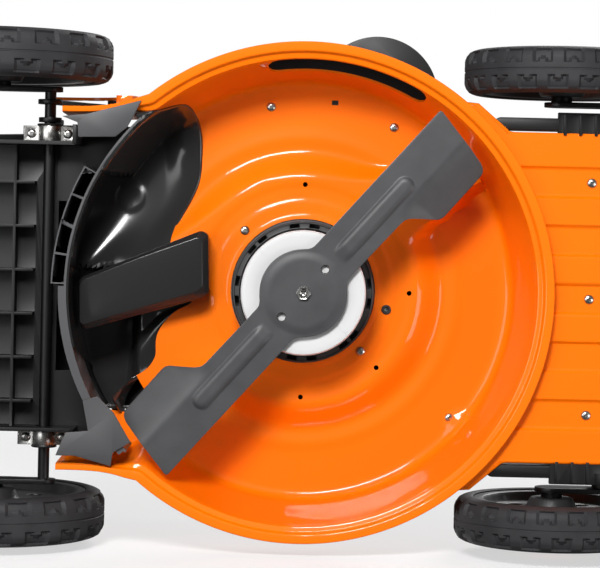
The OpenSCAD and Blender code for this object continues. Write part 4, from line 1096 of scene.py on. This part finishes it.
def tyre_sheet(radius, inner_y, width, side, lugs):
    """A moulded tyre: carcass, shoulder lugs with stepped pockets, and a seam line."""
    inside = radius - TYRE_DEPTH
    count = lugs * POINTS_PER_LUG
    middle = width / 2

    def pocket(y, turn):
        """How deep the tread's pocket is at this place, 0 on the lug tops."""
        if abs(y - middle) < 0.8:
            return SEAM_DEPTH
        phase = (turn * lugs + (0.5 if y > middle else 0.0)) % 1.0
        centre = abs(phase - 0.5)
        # a raised peak in the pocket's middle gives the lugs their stepped outline
        limit = 17.5 - 6.0 * (1 - smoothstep(0.05, 0.12, centre))
        depth = POCKET_DEPTH * (1 - smoothstep(limit - 0.8, limit, min(y, width - y)))
        return depth * (1 - smoothstep(POCKET_HALF - 0.03, POCKET_HALF, centre))

    def ring(y, r):
        """One turn of points round the tyre."""
        made = []
        for turn in (k / count for k in range(count)):
            reach = r - (pocket(y, turn) if 5.0 < y < width - 5.0 else 0.0)
            made.append((reach * math.cos(math.tau * turn), inner_y + side * y,
                         reach * math.sin(math.tau * turn)))
        return made

    # (distance across, radius) over the side wall and the tread, up to the middle
    profile = [(0.6, inside + 0.6), (0.0, inside + 3), (0.0, radius - 15), (0.5, radius - 11),
               (1.6, radius - 7.5), (3.2, radius - 4.6), (5.2, radius - 2.8)]
    tread = [6.4, 7.4, 8.6, 10.4, 12.4, 14.4, 16.0, 17.4, 18.6, 19.8, 21.0, middle - 1.2,
             middle - 0.5]
    profile += [(y, radius - 2.0 + 2.0 * smoothstep(5, 12, y)) for y in tread if y < middle - 0.3]
    mirrored = [(width - y, r) for y, r in reversed(profile)]
    # then over the other half, and back along the inside against the rim
    bead = [(width - 1.0, inside), (1.0, inside)]
    rings = [ring(y, r) for y, r in profile + [(middle, radius)] + mirrored + bead]
    return Sheet().grid(rings + rings[:1], closed=True)


class MOWER_OT_wheels(bpy.types.Operator):
    """Builds the four wheels: lugged tyres, dished centres and caps"""
    bl_idname = "mower.wheels"
    bl_label = "Wheels"

    def execute(self, context):
        for side in ("front_left", "front_right", "rear_left", "rear_right"):
            node = side + "_tyre"
            low, high = in_deck(node)
            centre = joint_mm(side + "_wheel_spin")
            left = side.endswith("left")
            inner = low.y if left else high.y
            radius = (high.z - low.z) / 2
            lugs = 20 if side.startswith("front") else 18
            sheet = tyre_sheet(radius, inner, high.y - low.y, 1 if left else -1, lugs)
            sheet.points = [(x + centre.x, y, z + centre.z) for x, y, z in sheet.points]
            tyre = sheet.piece(node + "_look", 26, outward=True)
            set_up(tyre, side + "_wheel_set", "tyre_rubber", [node])
            softened(side + "_wheel", settings().edges.moulded, "wheel_plastic")
            softened(side + "_cap", settings().edges.moulded, "orange_plastic")
        return {"FINISHED"}


# ---------------------------------------------------------------- pieces kept, with soft edges
TRIM_LOW, TRIM_HIGH = 63.0, 92.0
MOULDED = {
    "rear_body": "black_plastic", "lattice_ring": "grey_plastic", "side_chute": "black_plastic",
    "side_flap": "black_plastic", "rear_flap": "black_plastic", "controller": "circuit_case",
    "motor_hood": "gloss_black_plastic", "battery_bay": "black_plastic",
    "battery_pack": "orange_plastic", "safety_key": "orange_plastic",
    "front_cowl": "black_plastic", "carry_handle": "black_plastic",
    "rear_axle_bushes": "black_plastic", "lever_grip": "black_plastic",
    "switch_box": "black_plastic", "lock_button": "orange_plastic",
    "left_cam_lever": "black_plastic", "right_cam_lever": "black_plastic",
}
PRESSED = {
    "height_quadrant": "deck_paint", "front_axle_brackets": "black_plastic",
    "front_axle_rod": "black_steel", "rear_axle_rod": "black_steel", "link_rod": "black_steel",
    "height_lever": "black_steel", "handle_brackets": "black_steel",
    "rear_axle_clamps": "zinc_steel", "bail_lever": "black_steel",
    "lower_handle_tubes": "tube_paint", "upper_handle_bar": "tube_paint",
    "motor_can": "motor_alloy", "foam_grip": "foam",
}
FINE = {
    "flap_pins": "zinc_steel", "handle_pivot_bolts": "zinc_steel", "motor_bearings": "zinc_steel",
    "rotor_shaft": "zinc_steel", "rotor_core": "core_steel", "stator": "winding_copper",
}


class MOWER_OT_mouldings(bpy.types.Operator):
    """Builds the plastic mouldings and the apron's trim"""
    bl_idname = "mower.mouldings"
    bl_label = "Mouldings"

    def execute(self, context):
        for node, slot_name in MOULDED.items():
            softened(node, settings().edges.moulded, slot_name)
        # the trim along the apron's two sides
        outline = plate_outline(
            [(196, -173), (190, -179), (197, -186), (300, -186), (300, -173)], 3.0)
        mirrored = [(x, -y) for x, y in outline]
        trim = join(slab("apron_trim", outline, TRIM_LOW, TRIM_HIGH),
                    slab("trim_left", mirrored, TRIM_LOW, TRIM_HIGH))
        bake(trim, rounded(settings().edges.moulded, angle=50))
        smooth(trim, 30)
        set_up(trim, "deck", "black_plastic")
        return {"FINISHED"}


class MOWER_OT_pressings(bpy.types.Operator):
    """Builds the pressed, bent and drawn steel pieces"""
    bl_idname = "mower.pressings"
    bl_label = "Pressings"

    def execute(self, context):
        for node, slot_name in PRESSED.items():
            softened(node, settings().edges.pressed, slot_name)
        return {"FINISHED"}


class MOWER_OT_fittings(bpy.types.Operator):
    """Builds the small fittings: bolts, pins, bearings, and the motor's insides"""
    bl_idname = "mower.fittings"
    bl_label = "Fittings"

    def execute(self, context):
        for node, slot_name in FINE.items():
            softened(node, settings().edges.fine, slot_name)
        return {"FINISHED"}


# ---------------------------------------------------------------- stage
LIGHT_SPREAD = 170.0
SENSOR_MM = 36.0
PAPER_GLOW = 0.6          # how much of a sheet's brightness is its own
FLOOR_REACH = 6.0
SIDE_SHEET_Y = 0.2725     # just clear of the left wheels
# where the camera stands, in the deck's millimetres, and how it is turned and leans
CAMERA_AT = (-17.5, -76, -2338)
CAMERA_TURN = 1.3
LEAN_RIGHT, LEAN_DOWN = 0.00515, 0.02792
# the lights: (name, place from the machine's middle, size, whether it is a key light)
LIGHTS = (
    ("under_key", (-0.35, -1.2, -2.0), (0.8, 0.5), True),
    ("under_left", (-1.6, -0.3, -1.7), (1.0, 1.6), False),
    ("under_right", (1.8, 0.4, -1.4), (0.8, 1.4), False),
    ("over_key", (1.2, -1.6, 2.2), (1.8, 1.4), True),
    ("over_fill", (-1.2, 1.6, 1.8), (1.6, 1.6), False),
)


def area_light(name, place, target, size, power):
    data = bpy.data.lights.new(name, "AREA")
    data.shape = "RECTANGLE"
    data.size, data.size_y = size
    data.energy = power
    data.spread = math.radians(LIGHT_SPREAD)
    lamp = new_piece(name, data)
    lamp.location = place
    lamp.rotation_euler = (target - place).to_track_quat("-Z", "Y").to_euler()


def backdrop(name, corners, shade):
    """A pale sheet that only the camera sees, and only from its front."""
    mesh = bpy.data.meshes.new(name)
    mesh.from_pydata(corners, [], [(0, 1, 2, 3)])
    sheet = new_piece(name, mesh)
    material = bpy.data.materials.new(name + "_paper")
    material.use_nodes = True
    tree = material.node_tree
    tree.nodes.clear()
    # lit paper with a glow of its own in front, nothing behind
    lit = add_node(tree, "ShaderNodeBsdfDiffuse", {"Color": to_linear(shade)})
    glow = add_node(tree, "ShaderNodeEmission", {"Strength": 1.0})
    paper = add_node(tree, "ShaderNodeMixShader",
                     {0: PAPER_GLOW, 1: lit.outputs[0], 2: glow.outputs[0]})
    clear = add_node(tree, "ShaderNodeBsdfTransparent")
    side = add_node(tree, "ShaderNodeNewGeometry")
    mix = add_node(tree, "ShaderNodeMixShader",
                   {0: side.outputs["Backfacing"], 1: paper.outputs[0], 2: clear.outputs[0]})
    add_node(tree, "ShaderNodeOutputMaterial", {"Surface": mix.outputs[0]})
    mesh.materials.append(material)
    sheet.visible_shadow = False
    sheet.visible_diffuse = False
    sheet.visible_glossy = False
    sheet.visible_transmission = False


def white_room(brightness):
    """A white world for the camera and a softer one for everything else."""
    world = bpy.data.worlds.new("studio")
    world.use_nodes = True
    tree = world.node_tree
    tree.nodes.clear()
    white = to_linear("#ffffff")
    path = add_node(tree, "ShaderNodeLightPath")
    seen = add_node(tree, "ShaderNodeBackground", {"Color": white, "Strength": 1.0})
    felt = add_node(tree, "ShaderNodeBackground", {"Color": white, "Strength": brightness})
    mix = add_node(tree, "ShaderNodeMixShader",
                   {0: path.outputs["Is Camera Ray"], 1: felt.outputs[0], 2: seen.outputs[0]})
    add_node(tree, "ShaderNodeOutputWorld", {"Surface": mix.outputs[0]})
    return world


def low_camera(lens):
    """A camera that looks up at the underside, a little turned."""
    turn = math.radians(CAMERA_TURN)
    right = Vector((math.cos(turn), -math.sin(turn), 0))
    down = Vector((math.sin(turn), math.cos(turn), 0))
    forward = (Vector((0, 0, 1)) + LEAN_RIGHT * right + LEAN_DOWN * down).normalized()
    right = (right - right.dot(forward) * forward).normalized()
    down = forward.cross(right)
    data = bpy.data.cameras.new("camera")
    data.lens = lens
    data.sensor_width = SENSOR_MM
    data.clip_end = 30.0
    data.dof.use_dof = False
    camera = new_piece("camera", data)
    basis = Matrix((right, -down, -forward)).transposed().to_4x4()
    camera.matrix_world = Matrix.Translation(to_frame(CAMERA_AT)) @ basis
    return camera


class MOWER_OT_stage(bpy.types.Operator):
    """Builds the studio: pale floor and backdrop, soft lights and the camera"""
    bl_idname = "mower.stage"
    bl_label = "Stage"

    def execute(self, context):
        stage = settings().stage
        scene = context.scene
        scene.view_settings.view_transform = "Standard"
        scene.view_settings.look = "None"
        # the floor the machine stands on, and the sheet beside it
        far = FLOOR_REACH
        backdrop("floor", [(x, y, 0) for x, y in box_outline(-far, -far, far, far)], "#f4f4f4")
        backdrop("side_sheet", [(x, SIDE_SHEET_Y, z) for x, z in box_outline(-far, -far, far, far)],
                 "#fafafa")
        centre = Vector((SPINDLE_X, 0, 0.1))
        for name, place, size, is_key in LIGHTS:
            power = stage.key_power if is_key else stage.fill_power
            area_light(name, centre + Vector(place), centre, size, power)
        scene.world = white_room(stage.world_light)
        scene.camera = low_camera(stage.lens)
        return {"FINISHED"}


class MOWER_PT_panel(bpy.types.Panel):
    """The mower's operators and settings"""
    bl_idname = "MOWER_PT_panel"
    bl_label = "Rotary Mower"
    bl_space_type = "VIEW_3D"
    bl_region_type = "UI"
    bl_category = "Mower"

    def draw(self, context):
        layout = self.layout
        mower = context.scene.mower
        for group in (mower.edges, mower.stage):
            box = layout.box()
            for key in group.__annotations__:
                box.prop(group, key)
        for operator in OPERATORS:
            layout.operator(operator.bl_idname)


OPERATORS = (MOWER_OT_deck, MOWER_OT_duct, MOWER_OT_motor_face, MOWER_OT_blade,
             MOWER_OT_screws, MOWER_OT_wheels, MOWER_OT_mouldings, MOWER_OT_pressings,
             MOWER_OT_fittings, MOWER_OT_stage)
CLASSES = (MowerEdgeSettings, MowerStageSettings, MowerSettings, *OPERATORS, MOWER_PT_panel)
FINISHES = {}


def register():
    for cls in CLASSES:
        bpy.utils.register_class(cls)
    bpy.types.Scene.mower = PointerProperty(type=MowerSettings, name="Mower",
                                            description="The rotary mower's settings")


def unregister():
    del bpy.types.Scene.mower
    for cls in reversed(CLASSES):
        bpy.utils.unregister_class(cls)


def main():
    register()
    FINISHES.update({name: material.name for name, material in build_finishes().items()})
    for operator in OPERATORS:
        area, _, name = operator.bl_idname.partition(".")
        getattr(getattr(bpy.ops, area), name)()


if __name__ == "__main__":
    main()
